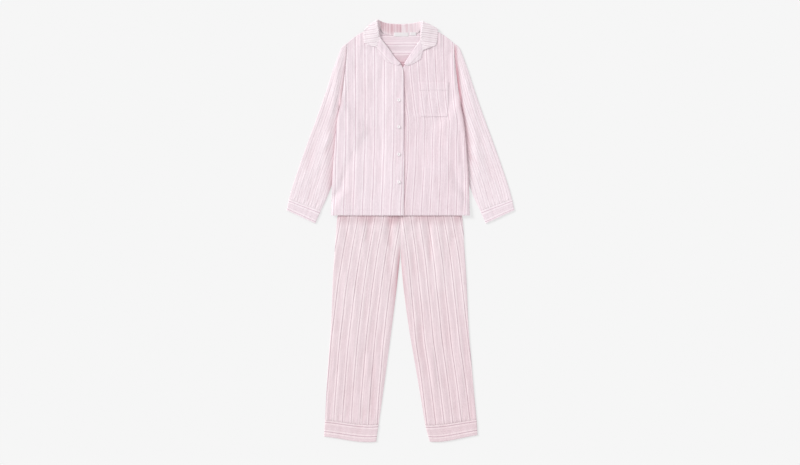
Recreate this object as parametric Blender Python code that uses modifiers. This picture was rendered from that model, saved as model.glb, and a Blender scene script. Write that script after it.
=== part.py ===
"""Pyjama set laid flat: a long-sleeved shirt with a notched collar, its hem over a pair of trousers.

Lengths in the tables are millimetres. +X runs to the viewer's right, +Y towards the collar and +Z up
from the surface the set lies on. The origin is under the middle of the set.
"""
import math
from collections import namedtuple

import bmesh
import bpy
import numpy as np
from mathutils import Matrix

MM = 0.001
CLOTH = 1.2  # one ply of brushed cotton
DOUBLE = 2.0  # two plies pressed together: cuffs, lapels, pocket hem
BAND = 2.4  # casing with its elastic
COLLAR = 1.8  # two plies with an interlining
WELD = 0.001  # points closer than this are one
SEAM = 0.3  # between the edges of two pieces that are sewn together
LAYER = 2.8  # between the middles of two panels that lie on each other
LAP = 2.4  # the upper front over the under front
BEND = 0.5 * LAYER  # radius of a folded edge

SET_OFFSET = (2.6, -0.9, 0.0)  # from the tables' origin to the middle of the set
BODY_X = -2.6  # middle of the shirt
CROTCH_X = -3.0  # middle of the trousers
ARMPIT_Y = 442.0
YOKE_Y = 547.0
TIP_Y = 657.0  # shoulder tip

SLEEVE_LIFT = 5.0  # what the tucked part of a sleeve raises the shirt by
TROUSER_LIFT = 7.2
COLLAR_LIFT = 2.6

Outline = namedtuple("Outline", "y half")
SIDE = [
    Outline(55, 242),
    Outline(169, 239),
    Outline(309, 229),
    Outline(379, 222),
    Outline(442, 210.5),
    Outline(501, 201),
    Outline(564, 194),
    Outline(613, 189),
    Outline(657, 187),
]
Top = namedtuple("Top", "out y")
NECK_AND_SHOULDER = [
    Top(0, 683.7),
    Top(35, 684.7),
    Top(58, 690.5),
    Top(66, 697),
    Top(71.5, 704.5),
    Top(82, 708),
    Top(100, 706),
    Top(128, 698),
    Top(149, 687),
    Top(170, 672),
    Top(187, 657),
]
# Where the sleeve tucked under the body begins, from the shirt's middle.
Tuck = namedtuple("Tuck", "y out")
TUCK = [
    Tuck(126, 268),
    Tuck(148, 240),
    Tuck(165, 236),
    Tuck(180, 230),
    Tuck(193, 219),
    Tuck(260, 193),
    Tuck(319, 169),
    Tuck(355, 157),
    Tuck(388, 177),
    Tuck(412, 199),
    Tuck(431, 208),
    Tuck(442, 236),
    Tuck(454, 270),
]
TUCK_RAMP = 55.0

FrontRow = namedtuple("FrontRow", "side_y edge_x edge_y")
LOW_ROWS = [55, 120, 188, 250, 310, 365, 415, 442, 500]
FRONT_OVER = [FrontRow(y, 10, y) for y in LOW_ROWS] + [
    FrontRow(564, 5, 571),
    FrontRow(588, -22, 604),
    FrontRow(610, -46, 637),
    FrontRow(632, -70, 673),
    FrontRow(645, -73.5, 690),
    FrontRow(657, -74, 704.5),
]
FRONT_UNDER = [FrontRow(y, -27, y) for y in LOW_ROWS[:-1]] + [
    FrontRow(500, -20, 500),
    FrontRow(564, 9, 578),
    FrontRow(588, 27, 607),
    FrontRow(610, 45, 634),
    FrontRow(632, 62, 664),
    FrontRow(645, 68, 684),
    FrontRow(657, 69, 704.5),
]

TubeRow = namedtuple("TubeRow", "inner_x inner_y outer_x outer_y bow")
SLEEVE = [
    TubeRow(215.5, 432, 203, 645, 7),
    TubeRow(214, 418, 232, 575, 8),
    TubeRow(204, 400, 255, 505, 9),
    TubeRow(188, 376, 272, 455, 5),
    TubeRow(171, 350, 290, 404, 3),
    TubeRow(177, 318, 306, 360, 2),
    TubeRow(201, 260, 324, 311, 4),
    TubeRow(228, 193, 352, 232, 2),
    TubeRow(257, 118, 379, 151, 0),
    TubeRow(279, 71, 390, 112, 0),
]
SLEEVE_CUFF = [
    TubeRow(279, 71, 390, 112, 0),
    TubeRow(289, 49, 394, 92, 0),
    TubeRow(299, 27, 398, 73, 0),
]
LEG_LEFT = [
    TubeRow(-3, 145, -163, 145, 0),
    TubeRow(-3, 118, -186, 118, 0),
    TubeRow(-3, 90, -207, 90, 0),
    TubeRow(-3, 50, -223, 50, 0),
    TubeRow(-3, -10, -228, -10, 0),
    TubeRow(-3.5, -66, -232, -66, 0),
    TubeRow(-13, -171, -239, -171, 0),
    TubeRow(-32, -328, -245, -328, 0),
    TubeRow(-56, -510, -258, -503, -2),
    TubeRow(-79, -676, -266, -661, -5),
]
LEG_LEFT_CUFF = [
    TubeRow(-79, -676, -266, -661, -5),
    TubeRow(-84, -706, -268, -690, -5),
    TubeRow(-88, -736, -270, -718, -6),
]
LEG_RIGHT = [
    TubeRow(-3, 145, 158, 145, 0),
    TubeRow(-3, 118, 180, 118, 0),
    TubeRow(-3, 90, 200, 90, 0),
    TubeRow(-3, 50, 213, 50, 0),
    TubeRow(-3, -10, 218, -10, 0),
    TubeRow(-2.5, -66, 221, -66, 0),
    TubeRow(5, -171, 228, -171, 0),
    TubeRow(25, -328, 235, -328, 0),
    TubeRow(56, -510, 249, -503, 2),
    TubeRow(84, -678, 263, -659, 4),
]
LEG_RIGHT_CUFF = [
    TubeRow(84, -678, 263, -659, 4),
    TubeRow(92, -707, 265, -686, 5),
    TubeRow(100, -736, 266, -713, 6),
]
WAISTBAND = [
    TubeRow(-163, 145, 158, 145, 0),
    TubeRow(-156, 163, 151, 163, 0),
    TubeRow(-152, 181, 147, 181, 0),
]
CROTCH_ROW = 5.0  # the row of a leg where its inner edge leaves the other leg

# A lapel's rows start on the front's roll line at a height and end at the lapel's outer edge.
LapelRow = namedtuple("LapelRow", "roll_y edge_x edge_y")
LAPEL_ON_UNDER = [
    LapelRow(664, 75, 633),
    LapelRow(645, 72, 618),
    LapelRow(627, 69, 604),
    LapelRow(610, 56, 594),
    LapelRow(594, 37, 584),
    LapelRow(584, 20, 578),
]
LAPEL_ON_OVER = [
    LapelRow(673, -80, 640),
    LapelRow(654, -78, 622),
    LapelRow(638, -68, 606),
    LapelRow(618, -49, 593),
    LapelRow(599, -29, 585),
    LapelRow(585, -12, 579),
]

# The collar from its middle to its front end: neck seam, roll, middle of the fall and outer edge.
Station = namedtuple("Station", "nx ny nz rx ry rz mx my mz ex ey ez bend flat")
COLLAR_HALF = [
    Station(0, 684, 3.6, 0, 724, 3.1, 0, 695, 0.9, 0, 664, 0.9, 2.2, 0),
    Station(35, 685, 3.6, 36, 726.5, 3.3, 43, 697, 0.9, 50, 664, 0.9, 2.3, 0),
    Station(58, 691.5, 3.9, 60, 731, 5.0, 74, 708, 1.0, 90, 674, 0.9, 2.6, 0),
    Station(66, 698.5, 4.4, 70, 734, 8.5, 90, 718, 2.0, 118, 690, 0.9, 3.0, 0),
    Station(69, 704.5, 5.2, 75, 734, 13, 99, 723, 5.5, 128.5, 704.5, 1.2, 3.3, 0),
    Station(69.5, 707, 6.4, 77, 731, 15, 103, 722.5, 9.5, 131.5, 707, 5.0, 3.5, 0),
    Station(69.5, 703, 7.6, 77, 725, 15, 103, 716, 11.5, 131, 701, 8.4, 3.5, 0),
    Station(70, 694, 8.0, 75, 710, 14.5, 102, 703, 11.5, 130, 690, 8.8, 3.2, 0),
    Station(69.5, 681, 8.0, 71, 690, 13, 99, 684, 10.5, 129, 675, 8.6, 2.8, 0),
    Station(67.5, 671, 8.0, 68, 675, 11, 96, 668, 9.5, 128, 664, 8.4, 2.2, 0.5),
    Station(66.6, 665.6, 8.1, 68, 665, 8.4, 95, 661, 8.6, 127, 658, 8.2, 2.0, 1),
    Station(72.7, 649.6, 7.0, 74, 649.6, 7.1, 96.5, 651, 7.8, 125, 654.5, 7.9, 1.5, 1),
    Station(78.8, 633.6, 5.9, 80, 634, 6.0, 98, 640.5, 7.0, 121, 649, 7.4, 1.0, 1),
]
# The left half of the collar lies a little wider at the roll and narrower over the shoulder.
Shift = namedtuple("Shift", "out y")
LEFT_SHIFTS = {"n": Shift(3.5, 9), "r": Shift(5, 9), "m": Shift(-5, 6), "e": Shift(-13, 3)}
LEFT_SHIFT_FROM = 2.0
LEFT_SHIFT_OVER = 4.0
ON_FRONT_FROM = 6.5  # station from which the collar lies on a front
FLAT_SHARE = 0.35  # share of the way to its middle that the stand's points take where it lies flat

# Broad soft folds: a ridge from one point to another, as wide and as high as given.
Fold = namedtuple("Fold", "x0 y0 x1 y1 width height")
TROUSER_FOLDS = [
    Fold(-180, 145, -186, -20, 9, 1.5),
    Fold(-133, 145, -138, -110, 11, 1.9),
    Fold(-72, 145, -78, -30, 10, 2.0),
    Fold(-30, 145, -32, 20, 8, 1.2),
    Fold(24, 145, 26, 5, 8, 1.4),
    Fold(70, 145, 74, -60, 9, 1.6),
    Fold(128, 145, 138, -230, 12, 2.0),
    Fold(176, 145, 188, -20, 9, 1.3),
    Fold(-160, -180, -168, -480, 15, 1.4),
    Fold(-112, -400, -118, -640, 9, 1.3),
    Fold(96, -330, 122, -600, 14, 1.4),
    Fold(196, -300, 214, -600, 12, 1.2),
]
SHIRT_FOLDS = [
    Fold(-150, 360, -160, 70, 14, 1.5),
    Fold(-206, 300, -214, 70, 11, 1.2),
    Fold(-98, 300, -104, 70, 12, 1.0),
    Fold(120, 330, 128, 70, 14, 1.2),
    Fold(196, 300, 206, 70, 12, 1.3),
    Fold(-90, 585, -128, 500, 16, 1.2),
    Fold(120, 640, 150, 560, 14, 1.0),
]
FOLD_FADE = 0.22  # share of a fold's length over which each end dies away

POCKET_TOP = (59.0, 168.0, 521.0)  # left, right, height
POCKET_FOOT = (66.5, 162.5, 400.5)
POCKET_HEM = 28.0
BUTTON_X = -9.0
BUTTON_Y = (459.0, 365.0, 269.0, 172.0)
BUTTON_DIAMETER = 11.5
BUTTON_THICKNESS = 2.6
LABEL = (-25.0, 25.0, 681.5, 695.0, 5.6)  # left, right, foot, top, height
SIZE_TAG = (31.0, 52.0, 684.5, 696.0, 6.1)
LABEL_WALL = 1.0

TIP_HALF = 187.0  # from the shirt's middle to a shoulder tip
SLEEVE_PUFF = 1.0  # how far the upper panels stand off at their middle
LAPEL_PUFF = 0.8
PATCH_AIR = 0.8  # between the pocket and the front
ROLL_GAP = 0.6  # between a lapel's roll and the edge of the front in it
LAPEL_AIR = 0.5  # between a lapel and the front under it
PRESSED_SHARE = 0.06  # share of the width over which two panels close to their seam
EDGE_SHARE = 0.16  # share of a leg's width in which its folds die away towards the edges

CLOTH_COLOUR = (0.78, 0.68, 0.73, 1.0)
FACING_COLOUR = (0.84, 0.76, 0.80, 1.0)
TROUSER_COLOUR = (0.74, 0.63, 0.68, 1.0)
BUTTON_COLOUR = (0.88, 0.84, 0.85, 1.0)
LABEL_COLOUR = (0.9, 0.9, 0.9, 1.0)


def column(rows, name):
    """One named column of a table as an array."""
    return np.array([getattr(row, name) for row in rows], float)


def ease(share):
    """0 to 1 with a level start and end."""
    share = np.clip(share, 0.0, 1.0)
    return share * share * (3.0 - 2.0 * share)


def through(keys, values, at):
    """A smooth curve through the rows of a table that never overshoots them, one or many at a time."""
    keys = np.asarray(keys, float)
    values = np.asarray(values, float)
    gap = np.diff(keys)
    wide = gap if values.ndim == 1 else gap[:, None]
    slope = np.diff(values, axis=0) / wide
    tangent = np.zeros_like(values)
    tangent[0] = slope[0]
    tangent[-1] = slope[-1]
    product = slope[:-1] * slope[1:]
    total = slope[:-1] + slope[1:]
    tangent[1:-1] = np.where(product > 0, 2.0 * product / np.where(product > 0, total, 1.0), 0.0)
    at = np.clip(at, keys[0], keys[-1])
    i = np.clip(np.searchsorted(keys, at, side="right") - 1, 0, len(gap) - 1)
    low, high = i, i + 1
    if values.ndim > 1:
        low, high = (i, np.arange(len(at))), (i + 1, np.arange(len(at)))
    t = (at - keys[i]) / gap[i]
    start = values[low] * (1 + 2 * t) * (1 - t) ** 2 + tangent[low] * gap[i] * t * (1 - t) ** 2
    end = values[high] * t * t * (3 - 2 * t) + tangent[high] * gap[i] * t * t * (t - 1)
    return start + end


def by_row(rows, name, number):
    """One named column of a table, read between its rows by row number."""
    return through(np.arange(len(rows)), column(rows, name), number)


def side_half(y):
    """Half the shirt's width, down the armhole and the side seam."""
    return through(column(SIDE, "y"), column(SIDE, "half"), y)


def top_edge(out):
    """Height of the neckline and the shoulder, by the distance from the shirt's middle."""
    return through(column(NECK_AND_SHOULDER, "out"), column(NECK_AND_SHOULDER, "y"), out)


def folds_height(folds, x, y):
    """How high the broad folds stand at a place."""
    total = np.zeros_like(x)
    for fold in folds:
        dx = fold.x1 - fold.x0
        dy = fold.y1 - fold.y0
        length = math.hypot(dx, dy)
        along = ((x - fold.x0) * dx + (y - fold.y0) * dy) / length**2
        aside = ((x - fold.x0) * dy - (y - fold.y0) * dx) / length
        fade = ease(along / FOLD_FADE) * ease((1.0 - along) / FOLD_FADE)
        total = total + fold.height * fade * np.exp(-((aside / fold.width) ** 2))
    return total


def shirt_lift(x, y):
    """How far what lies under the shirt raises its back."""
    out = np.abs(x - BODY_X)
    tuck = through(column(TUCK, "y"), column(TUCK, "out"), y)
    sleeve = SLEEVE_LIFT * ease((out - tuck + TUCK_RAMP) / TUCK_RAMP)
    hips = through([55, 120, 145, 190], [226, 190, 172, 160], y)
    trousers = TROUSER_LIFT * ease((hips + 58 - np.abs(x - CROTCH_X)) / 52) * ease((240 - y) / 48)
    collar = COLLAR_LIFT * ease((y - 632) / 26) * ease((158 - out) / 24)
    return (sleeve**4 + trousers**4 + collar**4) ** 0.25


def back_middle(x, y):
    """Height of the middle of the shirt's back."""
    return 0.5 * CLOTH + shirt_lift(x, y)


def front_middle(x, y, over):
    """Height of the middle of a front; `over` is true for the front that lies on the other."""
    lap = LAP * ease((x + 78) / 42) * ease((600 - y) / 50) if over else 0.0
    return back_middle(x, y) + LAYER + lap + folds_height(SHIRT_FOLDS, x, y)


def arc(steps, start, end):
    """Points of an arc as steps sideways and up, from one angle in degrees to another."""
    angles = np.radians(np.linspace(start, end, steps + 1))
    return [(math.cos(a), math.sin(a)) for a in angles]


SIDE_CROWD = 1.6  # draws a panel's columns towards its side
SEAM_ANGLE = 24.0  # where a front and the back stop short of each other on their folded side


def tube_section(run, bend, closed):
    """Round a flattened tube from its inner edge: share of the flat part, step sideways and up."""
    inner = arc(bend, 180, 270) if closed else [(-1.0, -1.0), (0.0, -1.0)]
    points = [(0.0, side, up) for side, up in inner]
    points += [(share, 0.0, -1.0) for share in np.linspace(0, 1, run + 1)[1:-1]]
    points += [(1.0, side, up) for side, up in arc(2 * bend, -90, 90)]
    points += [(share, 0.0, 1.0) for share in np.linspace(1, 0, run + 1)[1:-1]]
    points += [(0.0, side, abs(up)) for side, up in inner[::-1]]
    return np.array(points)


def turned_edge(run, bend, crowd=1.0):
    """Across a panel to the side where it turns down: share of the flat part, step sideways and up."""
    points = [(1 - (1 - t) ** crowd, 0.0, 1.0) for t in np.linspace(0, 1, run + 1)[:-1]]
    points += [(1.0, side, up) for side, up in arc(bend, 90, SEAM_ANGLE)]
    return np.array(points)


def pick(section, share):
    """The columns of a section at equal steps of a grid."""
    return section[np.rint(share * (len(section) - 1)).astype(int)].T


def row_line(row, share):
    """Places along one row of a tube, bowed to one side."""
    dx = row.outer_x - row.inner_x
    dy = row.outer_y - row.inner_y
    bow = 6.75 * share * (1.0 - share) ** 2 * row.bow / math.hypot(dx, dy)
    return row.inner_x + dx * share + bow * dy, row.inner_y + dy * share - bow * dx


def armhole_line(share):
    """Places along the armhole, from the armpit to the shoulder tip."""
    y = ARMPIT_Y + (TIP_Y - ARMPIT_Y) * share
    return side_half(y) + 2 * SEAM, y


def between(lines, number):
    """Places between lines, each a pair of arrays, by the line's number."""
    numbers = np.arange(len(lines))
    x = through(numbers, np.stack([line[0] for line in lines]), number)
    y = through(numbers, np.stack([line[1] for line in lines]), number)
    return x, y


def collection():
    """The collection that holds the set."""
    if "pyjama_set" not in bpy.data.collections:
        bpy.context.scene.collection.children.link(bpy.data.collections.new("pyjama_set"))
    return bpy.data.collections["pyjama_set"]


def finish(name, mesh, colour, roughness=0.9):
    """Puts a mesh in the scene with a material of its own."""
    material = bpy.data.materials.new(name)
    material.use_nodes = True
    shader = material.node_tree.nodes["Principled BSDF"]
    shader.inputs["Base Color"].default_value = colour
    shader.inputs["Roughness"].default_value = roughness
    mesh.materials.append(material)
    piece = bpy.data.objects.new(name, mesh)
    collection().objects.link(piece)
    return piece


def panel(name, across, along, place, wall, colour):
    """A grid whose points are put in place by a function, then given a wall."""
    mesh = bpy.data.meshes.new(name)
    bm = bmesh.new()
    bmesh.ops.create_grid(bm, x_segments=across, y_segments=along, size=1.0)
    u = np.array([vert.co.x for vert in bm.verts]) * 0.5 + 0.5
    v = np.array([vert.co.y for vert in bm.verts]) * 0.5 + 0.5
    for vert, point in zip(bm.verts, np.stack(place(u, v), 1) + SET_OFFSET):
        vert.co = point * MM
    bmesh.ops.remove_doubles(bm, verts=bm.verts, dist=WELD * MM)
    bm.to_mesh(mesh)
    bm.free()
    piece = finish(name, mesh, colour)
    solidify = piece.modifiers.new("wall", "SOLIDIFY")
    solidify.thickness = wall * MM
    solidify.offset = 0.0
    return piece


def tube(name, rows, heights, wall, colour, run, along, side=1.0, middle=0.0, armhole=False):
    """A flattened tube: a closed ring when it is two plies, else with a pressed seam at its inner edge."""
    section = tube_section(run, 2, wall > CLOTH)
    first = 0.0 if armhole else 1.5 * SEAM / math.hypot(
        rows[1].inner_x - rows[0].inner_x, rows[1].inner_y - rows[0].inner_y
    )
    last = len(rows) - (0 if armhole else 1)
    spans = [math.hypot(row.outer_x - row.inner_x, row.outer_y - row.inner_y) for row in rows]
    if armhole:
        spans = [TIP_Y - ARMPIT_Y] + spans

    def place(u, v):
        share, sideways, up = pick(section, u)
        number = first + (last - first) * v
        width = through(np.arange(len(spans)), spans, number)
        share = (0.5 * SEAM + BEND * (1 + sideways) + share * (width - 2 * BEND - 0.5 * SEAM)) / width
        lines = ([armhole_line(share)] if armhole else []) + [row_line(row, share) for row in rows]
        x, y = between(lines, number)
        x = middle + side * x
        low, high = heights(x, y, share, number)
        return x, y, low + 0.5 * (high - low) * (up + 1)

    return panel(name, len(section) - 1, along, place, wall, colour)


def pressed(share, width_share):
    """How far apart two panels' middles are: LAYER inside, and a seam's gap at the pressed edge."""
    return CLOTH + SEAM + (LAYER - CLOTH - SEAM) * ease(share / width_share)


def sleeve_heights(x, y, share, number):
    """A sleeve's two panels: level with the shirt at the armhole, then down under its side."""
    at_armhole = (1 - ease(number)) * shirt_lift(x, y)
    beside = ease((np.abs(x - BODY_X) - side_half(y) - 6) / 30)
    low = 0.5 * CLOTH + at_armhole
    inseam = ease(number)
    apart = LAYER * (1 - inseam) + pressed(share, PRESSED_SHARE) * inseam
    puff = SLEEVE_PUFF * beside * 4 * share * (1 - share) * ease((len(SLEEVE) - number) / 3)
    return low, low + apart + puff


def leg_heights(x, y, share, number):
    """A leg's two panels, the lower one flat on the surface and the upper one with its folds."""
    inside = ease(share / EDGE_SHARE) * ease((1 - share) / EDGE_SHARE) * ease((y + 672) / 60)
    low = np.full_like(x, 0.5 * CLOTH)
    inseam = ease(number - CROTCH_ROW + 0.5)
    apart = LAYER * (1 - inseam) + pressed(share, PRESSED_SHARE) * inseam
    return low, low + apart + inside * folds_height(TROUSER_FOLDS, x, y)


def double_heights(x, y, share, number):
    """The two panels of a cuff."""
    low = np.full_like(x, 0.5 * DOUBLE)
    return low, low + LAYER


def band_heights(x, y, share, number):
    """The two panels of the waistband."""
    low = np.full_like(x, 0.5 * BAND)
    return low, low + LAYER


def front(name, rows, side, over, colour):
    """One front: from its front edge or roll line to the side seam, the armhole and the shoulder."""
    section = turned_edge(10, 2, SIDE_CROWD)
    rising = turned_edge(2 * (len(rows) - 1), 2)
    last = len(rows) - 1

    def place(u, v):
        share, sideways, up = pick(section, u)
        number, back_off, up_top = pick(rising, v)
        number = number * last
        side_y = by_row(rows, "side_y", number)
        edge_x = by_row(rows, "edge_x", number)
        edge_y = by_row(rows, "edge_y", number)
        seamed = ease((ARMPIT_Y - side_y) / 12)
        step = (1 - up) * (1 - seamed) + sideways * seamed
        up = 1 + (up - 1) * seamed
        half = side_half(side_y)
        width = np.abs(BODY_X + side * half - edge_x)
        share = (share * (width - BEND) + step * BEND) / width
        x = edge_x + (BODY_X + side * half - edge_x) * share
        y = edge_y + (side_y - edge_y) * share
        top = rows[-1]
        top_x = top.edge_x + (BODY_X + side * TIP_HALF - top.edge_x) * share
        shoulder = top_edge(np.abs(top_x - BODY_X)) - top.edge_y - (TIP_Y - top.edge_y) * share
        y = y + ease((number - last + 4) / 4) * shoulder
        inward = (1 - back_off) * BEND * ease(number - last + 1)
        x = x - side * 0.35 * inward
        y = y - 0.94 * inward
        axis = back_middle(x, y) + BEND
        return x, y, axis + (front_middle(x, y, over) - axis) * np.minimum(up, up_top)

    return panel(name, len(section) - 1, len(rising) - 1, place, CLOTH, colour)


def back():
    """The back, from the hem to the yoke, its side edges turned up to meet the fronts."""
    edge = turned_edge(10, 2, SIDE_CROWD)
    section = np.concatenate([edge[:0:-1] * (-1, -1, 1), edge])
    heights = [y for y in LOW_ROWS if y < YOKE_Y] + [YOKE_Y - SEAM]

    def place(u, v):
        share, sideways, up = pick(section, u)
        y = through(np.arange(len(heights)), heights, v * (len(heights) - 1))
        seamed = ease((ARMPIT_Y - y) / 12)
        step = np.sign(share) * (1 - up) * (1 - seamed) + sideways * seamed
        up = 1 + (up - 1) * seamed
        x = BODY_X + share * (side_half(y) - BEND) + step * BEND
        return x, y, back_middle(x, y) + BEND * (1 - up)

    return panel("shirt_back", len(section) - 1, 2 * (len(heights) - 1), place, CLOTH, CLOTH_COLOUR)


def yoke():
    """The back yoke, from its seam to the neckline and the shoulders."""
    outs = [-187, -168, -149, -128, -110, -92, -80, -71.5, -64, -55, -44, -30, -15, 0]
    outs = np.array(outs + [-out for out in outs[-2::-1]], float)
    rising = turned_edge(5, 2)

    def place(u, v):
        out = outs[np.rint(u * (len(outs) - 1)).astype(int)]
        share, back_off, up = pick(rising, v)
        side_y = YOKE_Y + (TIP_Y - YOKE_Y) * share
        y = YOKE_Y + (top_edge(np.abs(out)) - YOKE_Y) * share
        at_shoulder = ease((np.abs(out) - 66) / 26)
        inward = (1 - back_off) * BEND * ease((share - 0.75) * 4) * (0.4 + 0.6 * at_shoulder)
        x = BODY_X + out / TIP_HALF * side_half(side_y) - np.sign(out) * 0.35 * inward
        y = y - 0.94 * inward
        return x, y, back_middle(x, y) + BEND * (1 - up) * at_shoulder

    return panel("back_yoke", len(outs) - 1, len(rising) - 1, place, CLOTH, CLOTH_COLOUR)


def collar_station(number):
    """The collar's section points at a station number; the left half has negative numbers."""
    left = number < 0
    at = np.abs(number)
    moved = np.where(left, ease((at - LEFT_SHIFT_FROM) / LEFT_SHIFT_OVER), 0.0)
    side = np.where(left, -1.0, 1.0)
    points = {}
    for key, shift in LEFT_SHIFTS.items():
        x = by_row(COLLAR_HALF, key + "x", at) + moved * shift.out
        y = by_row(COLLAR_HALF, key + "y", at) + moved * shift.y
        points[key] = np.stack([BODY_X + side * x, y, by_row(COLLAR_HALF, key + "z", at)], 1)
    return points, by_row(COLLAR_HALF, "bend", at)[:, None], by_row(COLLAR_HALF, "flat", at)[:, None]


def unit(vectors):
    """Vectors made one long."""
    return vectors / np.linalg.norm(vectors, axis=1, keepdims=True)


def collar_point(number, place):
    """A point of the collar: station number, and place from 0 at the neck seam to 4 at the edge."""
    points, bend, flat = collar_station(number)
    neck, roll, middle, edge = points["n"], points["r"], points["m"], points["e"]
    axis = unit(roll - 0.5 * (neck + middle))
    turn = middle - neck
    turn = unit(turn - axis * np.sum(axis * turn, 1, keepdims=True))
    centre = roll - bend * axis
    place = place[:, None]
    angle = np.clip(place - 1, 0, 1) * math.pi
    hairpin = centre + bend * (np.sin(angle) * axis - np.cos(angle) * turn)
    straight = neck + (middle - neck) * FLAT_SHARE * np.clip(place, 0, 2) * 0.5
    rolled = np.where(place < 1, neck + (centre - bend * turn - neck) * place, hairpin)
    inner = rolled * (1 - flat) + straight * flat
    start = (centre + bend * turn) * (1 - flat) + (neck + (middle - neck) * FLAT_SHARE) * flat
    t = np.clip(place - 2, 0, 2) * 0.5
    pull = 2 * middle - 0.5 * (start + edge)
    fall = start * (1 - t) ** 2 + pull * 2 * t * (1 - t) + edge * t * t
    points = np.where(place <= 2, inner, fall)
    points[:, 2] = np.maximum(points[:, 2], 0.5 * COLLAR)
    rest = front_middle(points[:, 0], points[:, 1], False) + 0.5 * CLOTH + LAPEL_AIR + 0.5 * COLLAR
    points[:, 2] = np.where(np.abs(number) > ON_FRONT_FROM, np.maximum(points[:, 2], rest), points[:, 2])
    return points


def collar():
    """The collar: one band that stands at the neck, rolls over and falls on the shoulders."""
    places = np.concatenate([np.linspace(0, 1, 4)[:-1], np.linspace(1, 2, 5)[:-1], np.linspace(2, 4, 6)])
    last = len(COLLAR_HALF) - 1

    def place(u, v):
        number = (2 * v - 1) * last
        points = collar_point(number, places[np.rint(u * (len(places) - 1)).astype(int)])
        return points.T

    return panel("collar", len(places) - 1, 2 * last, place, COLLAR, CLOTH_COLOUR)


def lapel(name, rows, fronts, over):
    """A turned-out front edge, rolled over the front's own roll line."""
    bend = 0.5 * CLOTH + LAPEL_AIR + 0.5 * DOUBLE
    rolled = [(0.0, step, up) for step, up in arc(3, 185, 90)]
    section = np.array(rolled + [(share, 0.0, 1.0) for share in np.linspace(0, 1, 6)[1:]])

    def place(u, v):
        share, step, up = pick(section, u)
        number = v * (len(rows) - 1)
        roll_y, edge_x, edge_y = (by_row(rows, field, number) for field in LapelRow._fields)
        roll_x = through(column(fronts, "edge_y"), column(fronts, "edge_x"), roll_y)
        width = np.hypot(edge_x - roll_x, edge_y - roll_y)
        share = share + (step * bend - ROLL_GAP * (share == 0)) / width
        x = roll_x + (edge_x - roll_x) * share
        y = roll_y + (edge_y - roll_y) * share
        puff = LAPEL_PUFF * np.clip(4 * share * (1 - share), 0, 1) * width / 50
        return x, y, front_middle(x, y, over) + bend * up + puff

    return panel(name, len(section) - 1, 10, place, DOUBLE, FACING_COLOUR)


def on_front(name, left, right, foot, top, wall, along):
    """A patch on the under front between two heights, its sides given at the foot and the top."""
    def place(u, v):
        y = foot + (top - foot) * v
        down = (POCKET_TOP[2] - y) / (POCKET_TOP[2] - POCKET_FOOT[2])
        left_x = left[0] + (left[1] - left[0]) * down
        right_x = right[0] + (right[1] - right[0]) * down
        x = left_x + (right_x - left_x) * u
        return x, y, front_middle(x, y, False) + 0.5 * CLOTH + PATCH_AIR + 0.5 * wall

    return panel(name, 8, along, place, wall, CLOTH_COLOUR)


def pocket():
    """The chest pocket and the hem band along its mouth."""
    left = (POCKET_TOP[0], POCKET_FOOT[0])
    right = (POCKET_TOP[1], POCKET_FOOT[1])
    seam_y = POCKET_TOP[2] - POCKET_HEM
    on_front("pocket", left, right, POCKET_FOOT[2], seam_y - SEAM, CLOTH, 6)
    on_front("pocket_hem", left, right, seam_y, POCKET_TOP[2], DOUBLE, 2)


def button(name, y):
    """A button lying on the upper front."""
    height = front_middle(np.array([BUTTON_X]), np.array([y]), True)[0]
    middle = height + 0.5 * CLOTH + 2 * SEAM + 0.5 * BUTTON_THICKNESS
    mesh = bpy.data.meshes.new(name)
    bm = bmesh.new()
    radius = 0.5 * BUTTON_DIAMETER * MM
    place = Matrix.Translation((np.array([BUTTON_X, y, middle]) + SET_OFFSET) * MM)
    bmesh.ops.create_cone(
        bm, cap_ends=True, segments=16, radius1=radius, radius2=radius, depth=BUTTON_THICKNESS * MM, matrix=place
    )
    bm.to_mesh(mesh)
    bm.free()
    piece = finish(name, mesh, BUTTON_COLOUR, 0.35)
    bevel = piece.modifiers.new("rim", "BEVEL")
    bevel.width = 0.6 * MM
    bevel.segments = 1
    bevel.limit_method = "ANGLE"


def label(name, left, right, foot, top, height):
    """A bare label on the neck seam."""
    def place(u, v):
        x = left + (right - left) * u
        return x, foot + (top - foot) * v, np.full_like(x, height)

    panel(name, 4, 2, place, LABEL_WALL, LABEL_COLOUR)


def shirt():
    """Every piece of the shirt."""
    back()
    yoke()
    front("front_right", FRONT_OVER, -1.0, True, CLOTH_COLOUR)
    front("front_left", FRONT_UNDER, 1.0, False, CLOTH_COLOUR)
    lapel("lapel_right", LAPEL_ON_OVER, FRONT_OVER, True)
    lapel("lapel_left", LAPEL_ON_UNDER, FRONT_UNDER, False)
    collar()
    pocket()
    for number, y in enumerate(BUTTON_Y, 1):
        button(f"button_{number}", y)
    label("neck_label", *LABEL)
    label("size_tag", *SIZE_TAG)
    for name, side in (("right", -1.0), ("left", 1.0)):
        tube(f"sleeve_{name}", SLEEVE, sleeve_heights, CLOTH, CLOTH_COLOUR, 6, 20, side, BODY_X, armhole=True)
        tube(f"sleeve_cuff_{name}", SLEEVE_CUFF, double_heights, DOUBLE, CLOTH_COLOUR, 6, 2, side, BODY_X)


def trousers():
    """Every piece of the trousers."""
    for name, leg, cuff in (("right", LEG_LEFT, LEG_LEFT_CUFF), ("left", LEG_RIGHT, LEG_RIGHT_CUFF)):
        tube(f"leg_{name}", leg, leg_heights, CLOTH, TROUSER_COLOUR, 9, 18)
        tube(f"leg_cuff_{name}", cuff, double_heights, DOUBLE, TROUSER_COLOUR, 8, 2)
    tube("waistband", WAISTBAND, band_heights, BAND, TROUSER_COLOUR, 10, 2)


for old in list(bpy.data.objects):
    bpy.data.objects.remove(old)
shirt()
trousers()
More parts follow.
